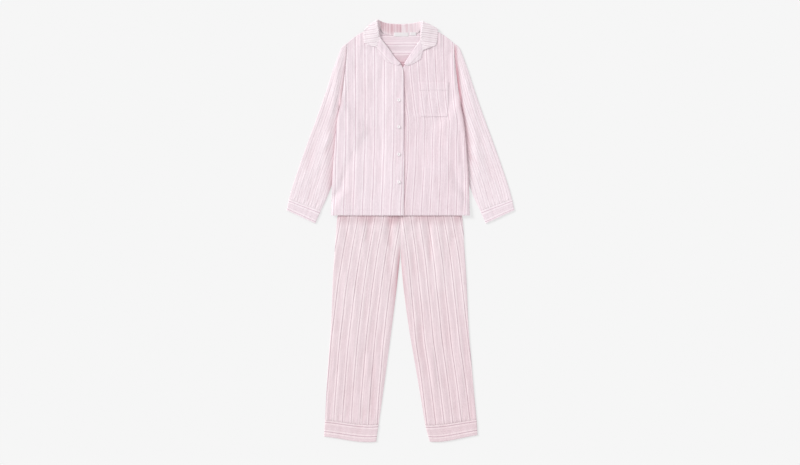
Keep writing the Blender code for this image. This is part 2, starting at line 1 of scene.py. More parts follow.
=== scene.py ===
"""Looks of a striped cotton pyjama set laid flat: its cloth, stripes, stitching, buttons and labels.

Tables are in millimetres on the maker's plan; +X runs to the viewer's right, +Y towards the collar, +Z up.
Names go by the wearer's side, so "right" is on the viewer's left.
"""
import math
from collections import namedtuple

import bmesh
import bpy
import numpy as np
from mathutils import Matrix, Vector


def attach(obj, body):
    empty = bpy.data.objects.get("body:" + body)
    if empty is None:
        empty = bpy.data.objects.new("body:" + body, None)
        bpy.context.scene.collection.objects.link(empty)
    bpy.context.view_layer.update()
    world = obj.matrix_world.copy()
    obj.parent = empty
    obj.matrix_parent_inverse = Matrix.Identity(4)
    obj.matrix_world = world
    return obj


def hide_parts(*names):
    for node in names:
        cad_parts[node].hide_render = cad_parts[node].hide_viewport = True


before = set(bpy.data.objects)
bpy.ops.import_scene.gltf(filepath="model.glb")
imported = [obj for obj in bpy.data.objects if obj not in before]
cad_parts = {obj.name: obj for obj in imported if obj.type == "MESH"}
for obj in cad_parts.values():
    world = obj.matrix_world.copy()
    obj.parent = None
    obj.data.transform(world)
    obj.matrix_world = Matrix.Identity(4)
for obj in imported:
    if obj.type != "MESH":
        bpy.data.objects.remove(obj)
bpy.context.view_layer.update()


def table(kind, *rows):
    """Rows of a table, each with its columns named."""
    return [kind(*row) for row in rows]


MM = 0.001
SET_OFFSET = (2.6, -0.9, 0.0)  # from the plan's origin to the middle of the set
SIDES = {"right": -1.0, "left": 1.0}  # the way along X to each of the wearer's sides

# ---------------------------------------------------------------- sizes of the cloth
CLOTH = 1.2  # a panel's wall in the solids, whose middles the cloth follows
DOUBLE = 2.0  # the wall of their cuffs
BAND = 2.4  # of their waistband
COLLAR = 1.8  # of their collar
PLY = 0.9  # walls of the cloth itself
TWO_PLIES = 1.2
BAND_PLIES = 2.0
COLLAR_PLIES = 1.3
SEAM = 0.3  # between two pieces at their seam
LAYER = 2.8  # between the middles of two panels that lie on each other
LAP = 2.4  # how much higher the upper front lies over the under one
BEND = 0.5 * LAYER  # radius of a turned edge
WELD = 0.001  # points closer than this become one
CORNER_STEPS = 4  # in a quarter turn
CROWDED = 1.15  # exponent that crowds the columns towards a turned side
SEAM_ANGLE = 24.0  # where a front and the back stop short of each other on their folded side
DEEPEST = 1.5  # the most that the painted shade counts
FULLEST_CUT = 0.999  # the largest area of a sheet, as a share of its width times its length
LATTICE = 97  # cells of the uneven relief before it repeats

BODY_X = -2.6  # middle of the shirt
CROTCH_X = -3.0  # middle of the trousers
ARMPIT_Y = 442.0
YOKE_Y = 547.0
TIP_Y = 657.0  # shoulder tip

SLEEVE_LIFT = 5.0  # what the tucked part of a sleeve raises the shirt by
TROUSER_LIFT = 7.2  # the same for the trousers
COLLAR_LIFT = 2.6  # and for the collar behind the neck

# How far out from the middle something lies, by height.
Out = namedtuple("Out", "y out")
SIDE = table(Out,
    (55, 242), (169, 239), (309, 229), (379, 222), (442, 210.5), (501, 201), (564, 194), (613, 189),
    (657, 187),
)
Top = namedtuple("Top", "out y")
NECK_AND_SHOULDER = table(Top,
    (0, 683.7), (35, 684.7), (58, 690.5), (66, 697), (71.5, 704.5), (82, 708), (100, 706), (128, 698),
    (149, 687), (170, 672), (187, 657),
)
# Where the sleeve tucked under the body begins.
TUCK = table(Out,
    (126, 268), (148, 240), (165, 236), (180, 230), (193, 219), (260, 193), (319, 169), (355, 157),
    (388, 177), (412, 194), (431, 206), (450, 223), (475, 245), (500, 268),
)
TUCK_RAMP = 55.0  # width over which it raises the shirt
HIPS = table(Out, (55, 226), (120, 190), (145, 172), (190, 160))  # the trousers under the shirt
HIPS_FROM = 58.0  # how far outside them the shirt begins to rise
HIPS_RAMP = 52.0

# A front's rows go from its edge or roll line to its side, which they meet at the height `side_y`.
FrontRow = namedtuple("FrontRow", "side_y edge_x edge_y")
LOW_ROWS = [55, 120, 188, 250, 310, 365, 415, 442, 500]  # level ones, from the hem up
FRONT_OVER = [FrontRow(y, 10, y) for y in LOW_ROWS] + table(FrontRow,
    (564, 5, 571), (588, -22, 604), (610, -46, 637), (632, -70, 673), (645, -73.5, 690), (657, -74, 704.5),
)
FRONT_UNDER = [FrontRow(y, -27, y) for y in LOW_ROWS[:-1]] + table(FrontRow,
    (500, -20, 500), (564, 9, 578), (588, 27, 607), (610, 45, 634), (632, 62, 664), (645, 68, 684),
    (657, 69, 704.5),
)

# A tube's rows go from its inner to its outer edge, and `bow` is how far they bend aside on the way.
TubeRow = namedtuple("TubeRow", "inner_x inner_y outer_x outer_y bow")
SLEEVE = table(TubeRow,
    (213.4, 432, 203, 645, 7), (214, 418, 232, 575, 8), (204, 400, 255, 505, 9), (188, 376, 272, 455, 5),
    (171, 350, 290, 404, 3), (177, 318, 306, 360, 2), (201, 260, 324, 311, 4), (228, 193, 352, 232, 2),
    (257, 118, 379, 151, 0), (279, 71, 390, 112, 0),
)
SLEEVE_CUFF = table(TubeRow,
    (279, 71, 390, 112, 0), (289, 49, 394, 92, 0), (299, 27, 398, 73, 0),
)
RIGHT_LEG = table(TubeRow,
    (-3, 145, -163, 145, 0), (-3, 118, -186, 118, 0), (-3, 90, -207, 90, 0), (-3, 50, -223, 50, 0),
    (-3, -10, -228, -10, 0), (-3.5, -66, -232, -66, 0), (-13, -171, -239, -171, 0),
    (-32, -328, -245, -328, 0), (-56, -510, -258, -503, -2), (-79, -676, -266, -661, -5),
)
RIGHT_LEG_CUFF = table(TubeRow,
    (-79, -676, -266, -661, -5), (-84, -706, -268, -690, -5), (-88, -736, -270, -718, -6),
)
LEFT_LEG = table(TubeRow,
    (-3, 145, 158, 145, 0), (-3, 118, 180, 118, 0), (-3, 90, 200, 90, 0), (-3, 50, 213, 50, 0),
    (-3, -10, 218, -10, 0), (-2.5, -66, 221, -66, 0), (5, -171, 228, -171, 0), (25, -328, 235, -328, 0),
    (56, -510, 249, -503, 2), (84, -678, 263, -659, 4),
)
LEFT_LEG_CUFF = table(TubeRow,
    (84, -678, 263, -659, 4), (92, -707, 265, -686, 5), (100, -736, 266, -713, 6),
)
WAISTBAND = table(TubeRow,
    (-163, 145, 158, 145, 0), (-156, 163, 151, 163, 0), (-152, 181, 147, 181, 0),
)
# A sleeve's outer fold, carried on a little past both of its ends.
SLEEVE_FOLD = [Out(71, 404)] + [Out(row.outer_y, row.outer_x) for row in SLEEVE[::-1]] + [Out(657, 189)]
# Where the yoke's columns meet its top edge, from the shoulder tip to the middle.
YOKE_OUTS = [-187, -168, -149, -128, -110, -92, -80, -71.5, -64, -55, -44, -30, -15, 0]
CROTCH_ROW = 5.0  # the row of a leg where its inner edge leaves the other leg

# A lapel's rows start on the front's roll line at a height and end at the lapel's outer edge.
LapelRow = namedtuple("LapelRow", "roll_y edge_x edge_y")
LAPEL_ON_UNDER = table(LapelRow,
    (664, 77.8, 632.8), (645, 72, 618), (627, 69, 604), (610, 56, 594), (594, 37, 584), (584, 20, 578),
)
LAPEL_ON_OVER = table(LapelRow,
    (673, -84.8, 642.3), (654, -78, 622), (638, -68, 606), (618, -49, 593), (599, -29, 585),
    (585, -12, 579),
)

# The collar from its middle to its front end: neck seam, roll, middle of the fall and outer edge.
Station = namedtuple("Station", "nx ny nz rx ry rz mx my mz ex ey ez bend flat")
COLLAR_HALF = table(Station,
    (0, 684, 3.6, 0, 724, 3.1, 0, 695, 0.9, 0, 664, 0.9, 2.2, 0),
    (35, 685, 3.6, 36, 726.5, 3.3, 43, 697, 0.9, 50, 664, 0.9, 2.3, 0),
    (58, 691.5, 3.9, 60, 731, 5.0, 74, 708, 1.0, 90, 674, 0.9, 2.6, 0),
    (66, 698.5, 4.4, 70, 734, 8.5, 90, 718, 2.0, 118, 690, 0.9, 3.0, 0),
    (69, 704.5, 5.2, 75, 734, 13, 99, 723, 5.5, 128.5, 704.5, 1.2, 3.3, 0),
    (69.5, 707, 6.4, 77, 731, 15, 103, 722.5, 9.5, 131.5, 707, 5.0, 3.5, 0),
    (69.5, 703, 7.6, 77, 725, 15, 103, 716, 11.5, 131, 701, 8.4, 3.5, 0),
    (70, 694, 8.0, 75, 710, 14.5, 102, 703, 11.5, 130, 690, 8.8, 3.2, 0),
    (69.5, 681, 8.0, 71, 690, 13, 99, 684, 10.5, 129, 675, 8.6, 2.8, 0),
    (67.5, 671, 8.0, 68, 675, 11, 96, 668, 9.5, 128, 664, 8.4, 2.2, 0.5),
    (66.6, 665.6, 8.1, 68, 665, 8.4, 95, 661, 8.6, 127, 658, 8.2, 2.0, 1),
    (72.7, 649.6, 7.0, 74, 649.6, 7.1, 96.5, 651, 7.8, 125, 654.5, 7.9, 1.5, 1),
    (78.8, 633.6, 5.9, 80, 634, 6.0, 98, 640.5, 7.0, 121, 649, 7.4, 1.0, 1),
)
# The right half of the collar lies a little wider at the roll and narrower over the shoulder.
# Each table has a row for the neck seam, the roll, the middle of the fall and the outer edge.
Shift = namedtuple("Shift", "out y")
RIGHT_SHIFTS = table(Shift, (3.5, 9), (5, 9), (-5, 6), (-13, 3))
RIGHT_SPREADS = table(Shift, (0, 0), (0, 0), (7, 0), (14, -1))  # more, where it lies on the front
SHIFT_FROM = 2.0
SHIFT_OVER = 4.0
ON_FRONT_FROM = 5.9  # station from which the collar lies on a front
FLAT_SHARE = 0.35  # share of the way to its middle that the stand's points take where it lies flat

# Broad soft folds: a ridge from one point to another, as wide and as high as given.
Fold = namedtuple("Fold", "x0 y0 x1 y1 width height")
TROUSER_FOLDS = table(Fold,
    (-180, 145, -186, -20, 9, 1.5), (-133, 145, -138, -110, 11, 1.9), (-72, 145, -78, -30, 10, 2.0),
    (-30, 145, -32, 20, 8, 1.2), (24, 145, 26, 5, 8, 1.4), (70, 145, 74, -60, 9, 1.6),
    (128, 145, 138, -230, 12, 2.0), (176, 145, 188, -20, 9, 1.3), (-160, -180, -168, -480, 15, 1.4),
    (-112, -400, -118, -640, 9, 1.3), (96, -330, 122, -600, 14, 1.4), (196, -300, 214, -600, 12, 1.2),
)
SHIRT_FOLDS = table(Fold,
    (-150, 360, -160, 70, 14, 1.5), (-206, 300, -214, 70, 11, 1.2), (-98, 300, -104, 70, 12, 1.0),
    (120, 330, 128, 70, 14, 1.2), (196, 300, 206, 70, 12, 1.3), (-90, 585, -128, 500, 16, 1.2),
    (120, 640, 150, 560, 14, 1.0),
)
FOLD_FADE = 0.22  # share of a fold's length over which each end dies away

Across = namedtuple("Across", "left right y")
POCKET_TOP = Across(59.0, 168.0, 521.0)
POCKET_FOOT = Across(66.5, 162.5, 400.5)
POCKET_HEM = 28.0
BUTTON_X = -9.0
BUTTON_Y = (459.0, 365.0, 269.0, 172.0)
BUTTON_DIAMETER = 11.5
BUTTON_THICKNESS = 2.6
POCKET_WALL = 0.6
POCKET_HEM_WALL = 0.9
LABEL_WALL = 0.5
Label = namedtuple("Label", "left right foot top height")
NECK_LABEL = Label(-25.0, 25.0, 681.5, 695.0, 5.6)
SIZE_TAG = Label(31.0, 52.0, 684.5, 696.0, 6.1)

TIP_HALF = 187.0  # from the shirt's middle to a shoulder tip
SHOULDER_SIN = 0.35  # of the angle at which a shoulder falls
SHOULDER_COS = 0.94
BOW_PEAK = 6.75  # makes a bowed row bend aside by as much as its table says
SLEEVE_PUFF = 1.0  # how far the upper panels stand off at their middle
LAPEL_PUFF = 0.8
ROLL_GAP = 0.6  # between a lapel's roll and the edge of the front in it
PRESSED_GAP = 0.06  # between a front and what is pressed flat on it
ARMHOLE_GAP = 0.05  # between a front and its sleeve at the armhole
LAPEL_AIR = 0.5  # between a lapel and the front under it
PRESSED_SHARE = 0.06  # share of the width over which two panels close to their seam
EDGE_SHARE = 0.16  # share of a leg's width in which its folds die away towards the edges

# ---------------------------------------------------------------- folds and small creases of the cloth
# Further folds: ridges where the height is above 0, troughs where it is below.
SHIRT_CREASES = table(Fold,
    (-212, 205, -220, 50, 8, 0.42), (-176, 230, -172, 50, 7, -0.55), (-136, 210, -140, 50, 8, 0.38),
    (-70, 180, -74, 50, 9, 0.34), (-42, 330, -38, 160, 7, 0.29), (-118, 640, -150, 560, 9, 0.42),
    (-142, 655, -60, 560, 10, 0.34), (-165, 600, -120, 470, 10, -0.34), (-196, 470, -178, 330, 9, 0.46),
    (-200, 360, -190, 230, 8, 0.34), (26, 500, 30, 280, 6, 0.29), (40, 240, 34, 50, 8, 0.34),
    (84, 240, 92, 50, 9, 0.38), (150, 230, 160, 50, 10, -0.42), (206, 250, 216, 60, 8, 0.42),
    (182, 480, 196, 330, 9, 0.42), (90, 640, 118, 560, 9, 0.38), (178, 640, 172, 520, 8, 0.42),
    (70, 400, 66, 250, 8, 0.25),
)
TROUSER_CREASES = table(Fold,
    (-206, 60, -212, -70, 7, 0.87), (-190, 62, -194, -40, 7, -0.74), (-158, 60, -164, -60, 8, 0.81),
    (-112, 62, -118, -50, 9, -0.99), (-92, 60, -98, -40, 6, 0.62), (-56, 60, -62, -80, 7, 0.93),
    (-37, 62, -42, -70, 7, -1.98), (-14, 60, -16, -60, 7, 1.12), (6, 60, 4, -70, 8, 1.12),
    (42, 62, 46, -30, 8, 0.74), (97, 62, 104, -120, 7, -1.98), (112, 60, 122, -130, 8, 1.12),
    (158, 62, 168, -50, 8, 0.74), (186, 62, 192, -40, 8, -0.99), (-52, -60, -26, -230, 9, -0.87),
    (-30, -70, -12, -170, 7, 0.74), (10, -80, 34, -230, 9, 0.74), (40, -60, 52, -260, 8, -0.74),
    (-190, -120, -206, -330, 12, 0.96), (-96, -430, -104, -680, 8, -1.12),
    (-146, -560, -150, -680, 8, 1.04), (-212, -470, -226, -660, 9, 0.88), (66, -300, 74, -470, 9, -1.2),
    (108, -400, 116, -560, 9, 1.04), (150, -180, 160, -420, 12, -0.88), (238, -560, 246, -670, 8, -0.96),
    (150, -540, 170, -680, 9, 0.96), (214, -120, 220, -330, 10, 0.88),
)
# On the wearer's right sleeve; the other one has them mirrored and shifted along by SLEEVE_SHIFT.
SLEEVE_CREASES = table(Fold,
    (214, 500, 250, 380, 9, 0.65), (206, 420, 262, 330, 8, -0.6), (212, 350, 270, 300, 9, 0.65),
    (236, 300, 296, 250, 9, -0.6), (262, 330, 300, 190, 10, 0.7), (300, 310, 330, 200, 9, -0.5),
    (262, 210, 300, 120, 9, 0.65), (322, 220, 350, 130, 9, 0.65), (300, 180, 326, 100, 8, -0.55),
)
SLEEVE_SHIFT = 34.0
Ridge = namedtuple("Ridge", "height out width")  # how a sleeve stands beside the body
RIDGE_RIGHT = Ridge(2.0, 27, 12)
RIDGE_LEFT = Ridge(2.6, 36, 15)
SIDE_BULGE = 1.5  # how high the shirt's side stands over the sleeve
EDGE_CURL = 0.4  # how high the placket's edge stands
CRINKLE = 0.55  # height of the cloth's crinkles along its stripes
LUMPS = 0.15  # height of its soft unevenness
GATHER = 0.9  # height of the small gathers above the cuffs

# ---------------------------------------------------------------- the woven stripe
REPEAT = 34.0  # from one dark stripe to the next in the weave's own coordinates
# Where the dark stripes lie: place of one of them and the width of a repeat, by height.
Drift = namedtuple("Drift", "y x repeat")
STRIPES_FRONT_RIGHT = table(Drift,
    (50, -135.5, 33.2), (99, -134, 33.2), (162, -130.5, 33.3), (232, -129, 33.4), (302, -126, 33.5),
    (442, -125.5, 33.5), (560, -126, 33.9), (710, -127, 34.0),
)
STRIPES_FRONT_LEFT = table(Drift,
    (50, 39, 30.6), (99, 42, 30.4), (162, 46.5, 29.8), (232, 51.5, 28.6), (302, 53, 28.2),
    (372, 55.5, 28.3), (442, 46.5, 28.2), (547, 35, 29), (710, 24, 31),
)
STRIPES_LEG_RIGHT = table(Drift,
    (-740, -270, 30.5), (-591, -261.5, 30.5), (-486, -253, 30.5), (-381, -244, 30.5), (-276, -231.5, 30.4),
    (-188, -221, 30.4), (-118, -210, 30.2), (-48, -198, 30), (11, -187, 30), (181, -160, 29),
)
STRIPES_LEG_LEFT = table(Drift,
    (-740, 190, 30.5), (-591, 172, 30.5), (-486, 158.5, 30.5), (-381, 143.5, 30.5), (-276, 133, 30.2),
    (-188, 123.5, 30), (-118, 116.5, 29.8), (-48, 107.5, 29.5), (11, 98, 29), (181, 70, 28),
)
YOKE_STRIPE_Y = 655.0  # height of one of the yoke's dark stripes
YOKE_REPEAT = 31.5
CUFF_STRIPE = 8.5  # from a cuff's seam to its first dark stripe
SLEEVE_STRIPE = 12.0  # from the outer fold of a sleeve to its first dark stripe
SLEEVE_LEAN = 19.0  # degrees that a sleeve's stripes lean
SLEEVE_FAN = 0.35  # share by which they close up towards the shoulder
LAPEL_LEAN = 0.75  # how far a lapel's stripes lean, in radians
COLLAR_REPEAT = 15.0
LAPEL_MEETS = 3.2  # how far a lapel reaches out to the collar at the roll
PLEAT = 11.0  # from one painted pleat shadow on the stand to the next
COLLAR_LEVEL = 885.0  # from which the stripes of the fall are counted down
COLLAR_SLOPE = 0.14  # how much they fall off to the sides
FOLD_SHARE = 0.6  # share of the solids' broad folds that the ironed shirt keeps
LABEL_LEANS = 1.2  # how much lower a label's foot lies than its top
HEM_GAP = 0.5  # between the trousers and the shirt's hem
# How much painted shade darkens the cloth beside the left armhole and under the crotch, by height.
Tone = namedtuple("Tone", "y tone")
LEFT_ARMHOLE_SHADE = table(Tone,
    (150, 0), (232, 0.35), (285, 0.72), (337, 0.72), (389, 1.0), (494, 1.3), (560, 1.2),
)
CROTCH_SHADE = table(Tone,
    (-370, 0), (-311, 0.3), (-258, 0.6), (-206, 1.1), (-136, 1.6), (-100, 1.4), (-45, 0),
)
# The legs. Towards the cuff a leg gets painted shade by `dusk`, and under the crotch a painted shadow by
# `crotch`.
# `flap` is how high the front's middle seam stands over the edge of the fly beside it.
Leg = namedtuple("Leg", "rows cuff stripes lean seed dusk crotch flap")
LEGS = {
    "right": Leg(RIGHT_LEG, RIGHT_LEG_CUFF, STRIPES_LEG_RIGHT, 0.08, 111, 0.13, 1.0, 0.0),
    "left": Leg(LEFT_LEG, LEFT_LEG_CUFF, STRIPES_LEG_LEFT, -0.09, 131, 0.19, 0.45, 1.3),
}
SLEEVE_CUFF_SEED = 91
LEG_CUFF_SEED = 95
# How far round the collar each of its stations lies from the middle of the back.
COLLAR_RUN = [0, 50, 85, 116, 134, 142, 150, 164, 182, 196, 206, 228, 250]


def column(rows, name):
    """One named column of a table as an array."""
    return np.array([getattr(row, name) for row in rows], float)


def ease(share):
    """0 to 1 with a level start and end."""
    share = np.clip(share, 0.0, 1.0)
    return share * share * (3.0 - 2.0 * share)


def mix(first, second, share):
    """Part of the way from the first to the second."""
    return first * (1 - share) + second * share


def bell(away, width):
    """1 on a line, dying away softly to both sides of it."""
    return np.exp(-((away / width) ** 2))


def fading(away, width):
    """1 up to a line, dying away beyond it."""
    return np.exp(-np.clip(away, 0, 60) / width)


def unit(vectors):
    """Vectors made one long."""
    return vectors / np.linalg.norm(vectors, axis=-1, keepdims=True)


def through(keys, values, at):
    """A smooth curve through the rows of a table that never overshoots them, one or many at a time."""
    keys = np.asarray(keys, float)
    values = np.asarray(values, float)
    gap = np.diff(keys)
    slope = np.diff(values, axis=0) / (gap if values.ndim == 1 else gap[:, None])
    tangent = np.zeros_like(values)
    tangent[0] = slope[0]
    tangent[-1] = slope[-1]
    product = slope[:-1] * slope[1:]
    total = slope[:-1] + slope[1:]
    tangent[1:-1] = np.where(product > 0, 2.0 * product / np.where(product > 0, total, 1.0), 0.0)
    at = np.clip(at, keys[0], keys[-1])
    i = np.clip(np.searchsorted(keys, at, side="right") - 1, 0, len(gap) - 1)
    low, high = i, i + 1
    if values.ndim > 1:
        low, high = (i, np.arange(len(at))), (i + 1, np.arange(len(at)))
    t = (at - keys[i]) / gap[i]
    start = values[low] * (1 + 2 * t) * (1 - t) ** 2 + tangent[low] * gap[i] * t * (1 - t) ** 2
    end = values[high] * t * t * (3 - 2 * t) + tangent[high] * gap[i] * t * t * (t - 1)
    return start + end


def by_row(rows, name, number):
    """One named column of a table, read between its rows by row number."""
    return through(np.arange(len(rows)), column(rows, name), number)


def lookup(rows, key, name, at):
    """One named column of a table, read between its rows by another column."""
    return through(column(rows, key), column(rows, name), at)


def side_half(y):
    """Half the shirt's width, down the armhole and the side seam."""
    return lookup(SIDE, "y", "out", y)


def top_edge(out):
    """Height of the neckline and the shoulder, by the distance from the shirt's middle."""
    return lookup(NECK_AND_SHOULDER, "out", "y", out)


def folds_height(folds, x, y):
    """How high the folds of a table stand at a place."""
    total = np.zeros_like(x)
    for fold in folds:
        dx = fold.x1 - fold.x0
        dy = fold.y1 - fold.y0
        length = math.hypot(dx, dy)
        along = ((x - fold.x0) * dx + (y - fold.y0) * dy) / length**2
        aside = ((x - fold.x0) * dy - (y - fold.y0) * dx) / length
        fade = ease(along / FOLD_FADE) * ease((1.0 - along) / FOLD_FADE)
        total = total + fold.height * fade * bell(aside, fold.width)
    return total


def arc(steps, start, end):
    """Points of an arc as steps sideways and up, from one angle in degrees to another."""
    return [(math.cos(a), math.sin(a)) for a in np.radians(np.linspace(start, end, steps + 1))]


def tube_section(run, closed):
    """Round a flattened tube from its inner edge: share of the flat part, step sideways and up."""
    inner = arc(CORNER_STEPS, 180, 270) if closed else [(-1.0, -1.0), (0.0, -1.0)]
    points = [(0.0, side, up) for side, up in inner]
    points += [(share, 0.0, -1.0) for share in np.linspace(0, 1, run + 1)[1:-1]]
    points += [(1.0, side, up) for side, up in arc(2 * CORNER_STEPS, -90, 90)]
    points += [(share, 0.0, 1.0) for share in np.linspace(1, 0, run + 1)[1:-1]]
    points += [(0.0, side, abs(up)) for side, up in inner[::-1]]
    return np.array(points)


def turned_edge(run, crowd=1.0):
    """Across a panel to the side where it turns down: share of the flat part, step sideways and up."""
    points = [(1 - (1 - t) ** crowd, 0.0, 1.0) for t in np.linspace(0, 1, run + 1)[:-1]]
    points += [(1.0, side, up) for side, up in arc(CORNER_STEPS, 90, SEAM_ANGLE)]
    return np.array(points)


def pick(section, share):
    """The columns of a section at equal steps of a grid."""
    return section[np.rint(share * (len(section) - 1)).astype(int)].T


def width_of(row):
    """How wide a tube lies along one of its rows."""
    return math.hypot(row.outer_x - row.inner_x, row.outer_y - row.inner_y)


def row_line(row, share):
    """Places along one row of a tube, bowed to one side."""
    dx = row.outer_x - row.inner_x
    dy = row.outer_y - row.inner_y
    bow = BOW_PEAK * share * (1.0 - share) ** 2 * row.bow / width_of(row)
    return row.inner_x + dx * share + bow * dy, row.inner_y + dy * share - bow * dx


def between(lines, number):
    """Places between lines, each a pair of arrays, by the line's number."""
    return [through(np.arange(len(lines)), np.stack([line[k] for line in lines]), number) for k in (0, 1)]


def grain(x, y, cell_x, cell_y, seed):
    """Smooth uneven relief between -1 and 1, with lumps of a given size."""
    lattice = np.random.default_rng(seed).uniform(-1, 1, (LATTICE, LATTICE))
    across, along = x / cell_x, y / cell_y
    i, j = np.floor(across).astype(int), np.floor(along).astype(int)
    corners = [[lattice[(i + a) % LATTICE, (j + b) % LATTICE] for a in (0, 1)] for b in (0, 1)]
    low, high = (mix(left, right, ease(across - i)) for left, right in corners)
    return mix(low, high, ease(along - j))


def crinkles(x, y, lean, seed):
    """Fine creases along the stripes and the soft unevenness of washed cotton."""
    across = x - lean * y
    streaks = grain(across, y, 8, 95, seed) + 0.6 * grain(across + 40, y, 4.5, 42, seed + 1)
    return CRINKLE * streaks + LUMPS * grain(x, y, 30, 44, seed + 2) + 0.25 * grain(x, y, 13, 17, seed + 3)


def gathers(share, y, to_cuff, waves, cell, reach, stop, seed):
    """Small gathers above a cuff: how many waves there are, and over how many rows they reach and stop."""
    waved = np.sin(share * waves + 2 * grain(share * 100, y, cell, 60, seed)) + 0.6
    return GATHER * bell(to_cuff, reach) * waved * ease(to_cuff / stop)


def trough_shade(relief):
    """Painted shade in the troughs of the cloth's small relief: how much deeper its colour is made there."""
    return 0.14 * np.clip(0.3 - relief, 0, 2.5)


def shirt_lift(x, y):
    """How far what lies under the shirt raises its back."""
    out = np.abs(x - BODY_X)
    sleeve = SLEEVE_LIFT * ease((out - lookup(TUCK, "y", "out", y) + TUCK_RAMP) / TUCK_RAMP)
    in_hips = lookup(HIPS, "y", "out", y) + HIPS_FROM - np.abs(x - CROTCH_X)
    trousers = TROUSER_LIFT * ease(in_hips / HIPS_RAMP) * ease((350 - y) / 160)
    neck = COLLAR_LIFT * ease((y - 632) / 26) * ease((158 - out) / 24)
    return (sleeve**4 + trousers**4 + neck**4) ** 0.25


def back_middle(x, y):
    """Height of the middle of the shirt's back."""
    return 0.5 * CLOTH + shirt_lift(x, y)


def front_relief(x, y, over):
    """The small relief of a front: its crinkles, creases, side and placket edge."""
    inside = side_half(y) - np.abs(x - BODY_X)
    bulge = SIDE_BULGE * bell(inside - 9, 7) * ease((640 - y) / 60) * ease((y - 45) / 30)
    bulge = bulge * (0.8 + 0.35 * grain(x, y, 60, 70, 21)) * (0.6 if over else 1.0)
    total = crinkles(x, y, 0.0, 11 if over else 31) + folds_height(SHIRT_CREASES, x, y) + bulge
    if over:
        curl = bell(x - 8, 5) * ease((560 - y) / 40)
        total = total + EDGE_CURL * curl * (0.75 + 0.5 * grain(x, y, 200, 60, 22))
    return total * ease(inside / 3 + 0.4)


def front_middle(x, y, over):
    """Height of the middle of a front; `over` is true for the front that lies on the other."""
    lap = LAP * ease((x + 78) / 42) * ease((600 - y) / 50) if over else 0.0
    lap = lap * (1 - 0.5 * bell(x - 11, 6))
    folds = FOLD_SHARE * folds_height(SHIRT_FOLDS, x, y)
    return back_middle(x, y) + LAYER + lap + folds + front_relief(x, y, over)


def pressed_on(wall):
    """From the middle of a front to the middle of what is pressed flat on it."""
    return 0.5 * PLY + PRESSED_GAP + 0.5 * wall


def pressed(share):
    """How far apart two panels' middles are: LAYER inside, and a seam's gap at the pressed edge."""
    return CLOTH + SEAM + (LAYER - CLOTH - SEAM) * ease(share / PRESSED_SHARE)


def striped(rows, x, y):
    """Distance across the stripes, with a dark one at 0 and at each REPEAT, for a table of drifts."""
    return REPEAT * (x - lookup(rows, "y", "x", y)) / lookup(rows, "y", "repeat", y)


# ---------------------------------------------------------------- cloth as a thin shell
def add_piece(name, bm, material):
    """A piece of the set from a finished mesh, its faces turned outwards."""
    bmesh.ops.recalc_face_normals(bm, faces=bm.faces)
    mesh = bpy.data.meshes.new(name)
    bm.to_mesh(mesh)
    bm.free()
    mesh.materials.append(material)
    piece = bpy.data.objects.new(name, mesh)
    bpy.context.collection.objects.link(piece)
    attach(piece, "root")
    return piece


def apply_modifiers(piece):
    """Applies every modifier of a piece."""
    bpy.ops.object.select_all(action="DESELECT")
    piece.select_set(True)
    bpy.context.view_layer.objects.active = piece
    for modifier in list(piece.modifiers):
        bpy.ops.object.modifier_apply(modifier=modifier.name)
    piece.select_set(False)


def round_edges(piece, width, segments, angle):
    """Rounds the edges sharper than an angle, once what comes before is applied."""
    bevel = piece.modifiers.new("rim", "BEVEL")
    bevel.width = width * MM
    bevel.segments = segments
    bevel.limit_method = "ANGLE"
    bevel.angle_limit = math.radians(angle)
    apply_modifiers(piece)


def cloth(name, across, along, place, wall, material, flat):
    """A grid of cloth, put in place by a function that also gives its weave and its painted shade, then
    given a wall.

    What comes before the last part of its name is the solid that it stands for.
    """
    bm = bmesh.new()
    bmesh.ops.create_grid(bm, x_segments=across, y_segments=along, size=1.0)
    u, v = (np.array([vert.co[k] for vert in bm.verts]) * 0.5 + 0.5 for k in (0, 1))
    x, y, z, weft, warp, painted_shade = place(u, v)
    # Each point keeps its painted shade, which darkens the cloth's colour there.
    deep = bm.verts.layers.float.new("painted_shade")
    spots = (np.stack((x, y, z), 1) + SET_OFFSET) * MM
    for vert, spot, depth in zip(bm.verts, spots, np.clip(painted_shade, 0, DEEPEST)):
        vert.co = spot
        vert[deep] = depth
    weave = bm.loops.layers.uv.new("weave")
    places = np.stack((weft, warp), 1) * MM
    for face in bm.faces:
        for loop in face.loops:
            loop[weave].uv = places[loop.vert.index]
    bmesh.ops.remove_doubles(bm, verts=bm.verts, dist=WELD * MM)
    area = min(sum(face.calc_area() for face in bm.faces), FULLEST_CUT * flat[0] * flat[1])
    piece = add_piece(name, bm, material)
    solidify = piece.modifiers.new("wall", "SOLIDIFY")
    solidify.thickness = wall * MM
    solidify.offset = 0.0
    round_edges(piece, 0.3 * wall, 2, 60)
    piece.data.shade_smooth()
    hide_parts(name.rpartition("_")[0])


def tube(name, rows, heights, weave, wall, material, run, along, flat,
         side=1.0, middle=0.0, armhole=False):
    """A flattened tube: a closed ring when it is two plies, else with a pressed seam at its inner edge."""
    section = tube_section(run, wall > PLY)
    down = math.hypot(rows[1].inner_x - rows[0].inner_x, rows[1].inner_y - rows[0].inner_y)
    first, last = (0.0, len(rows)) if armhole else (1.5 * SEAM / down, len(rows) - 1)
    spans = [TIP_Y - ARMPIT_Y] * armhole + [width_of(row) for row in rows]

    def place(u, v):
        share, sideways, up = pick(section, u)
        number = first + (last - first) * v
        width = through(np.arange(len(spans)), spans, number)
        share = (0.5 * SEAM + BEND * (1 + sideways) + share * (width - 2 * BEND - 0.5 * SEAM)) / width
        x, y = between([armhole_line(share)] * armhole + [row_line(row, share) for row in rows], number)
        low, high, painted_shade = heights(x, y, share, number)
        weft, warp = weave(x, y, share, number, width, up)
        return middle + side * x, y, low + 0.5 * (high - low) * (up + 1), weft, warp, painted_shade * (up > 0)

    cloth(name, len(section) - 1, along, place, wall, material, flat)


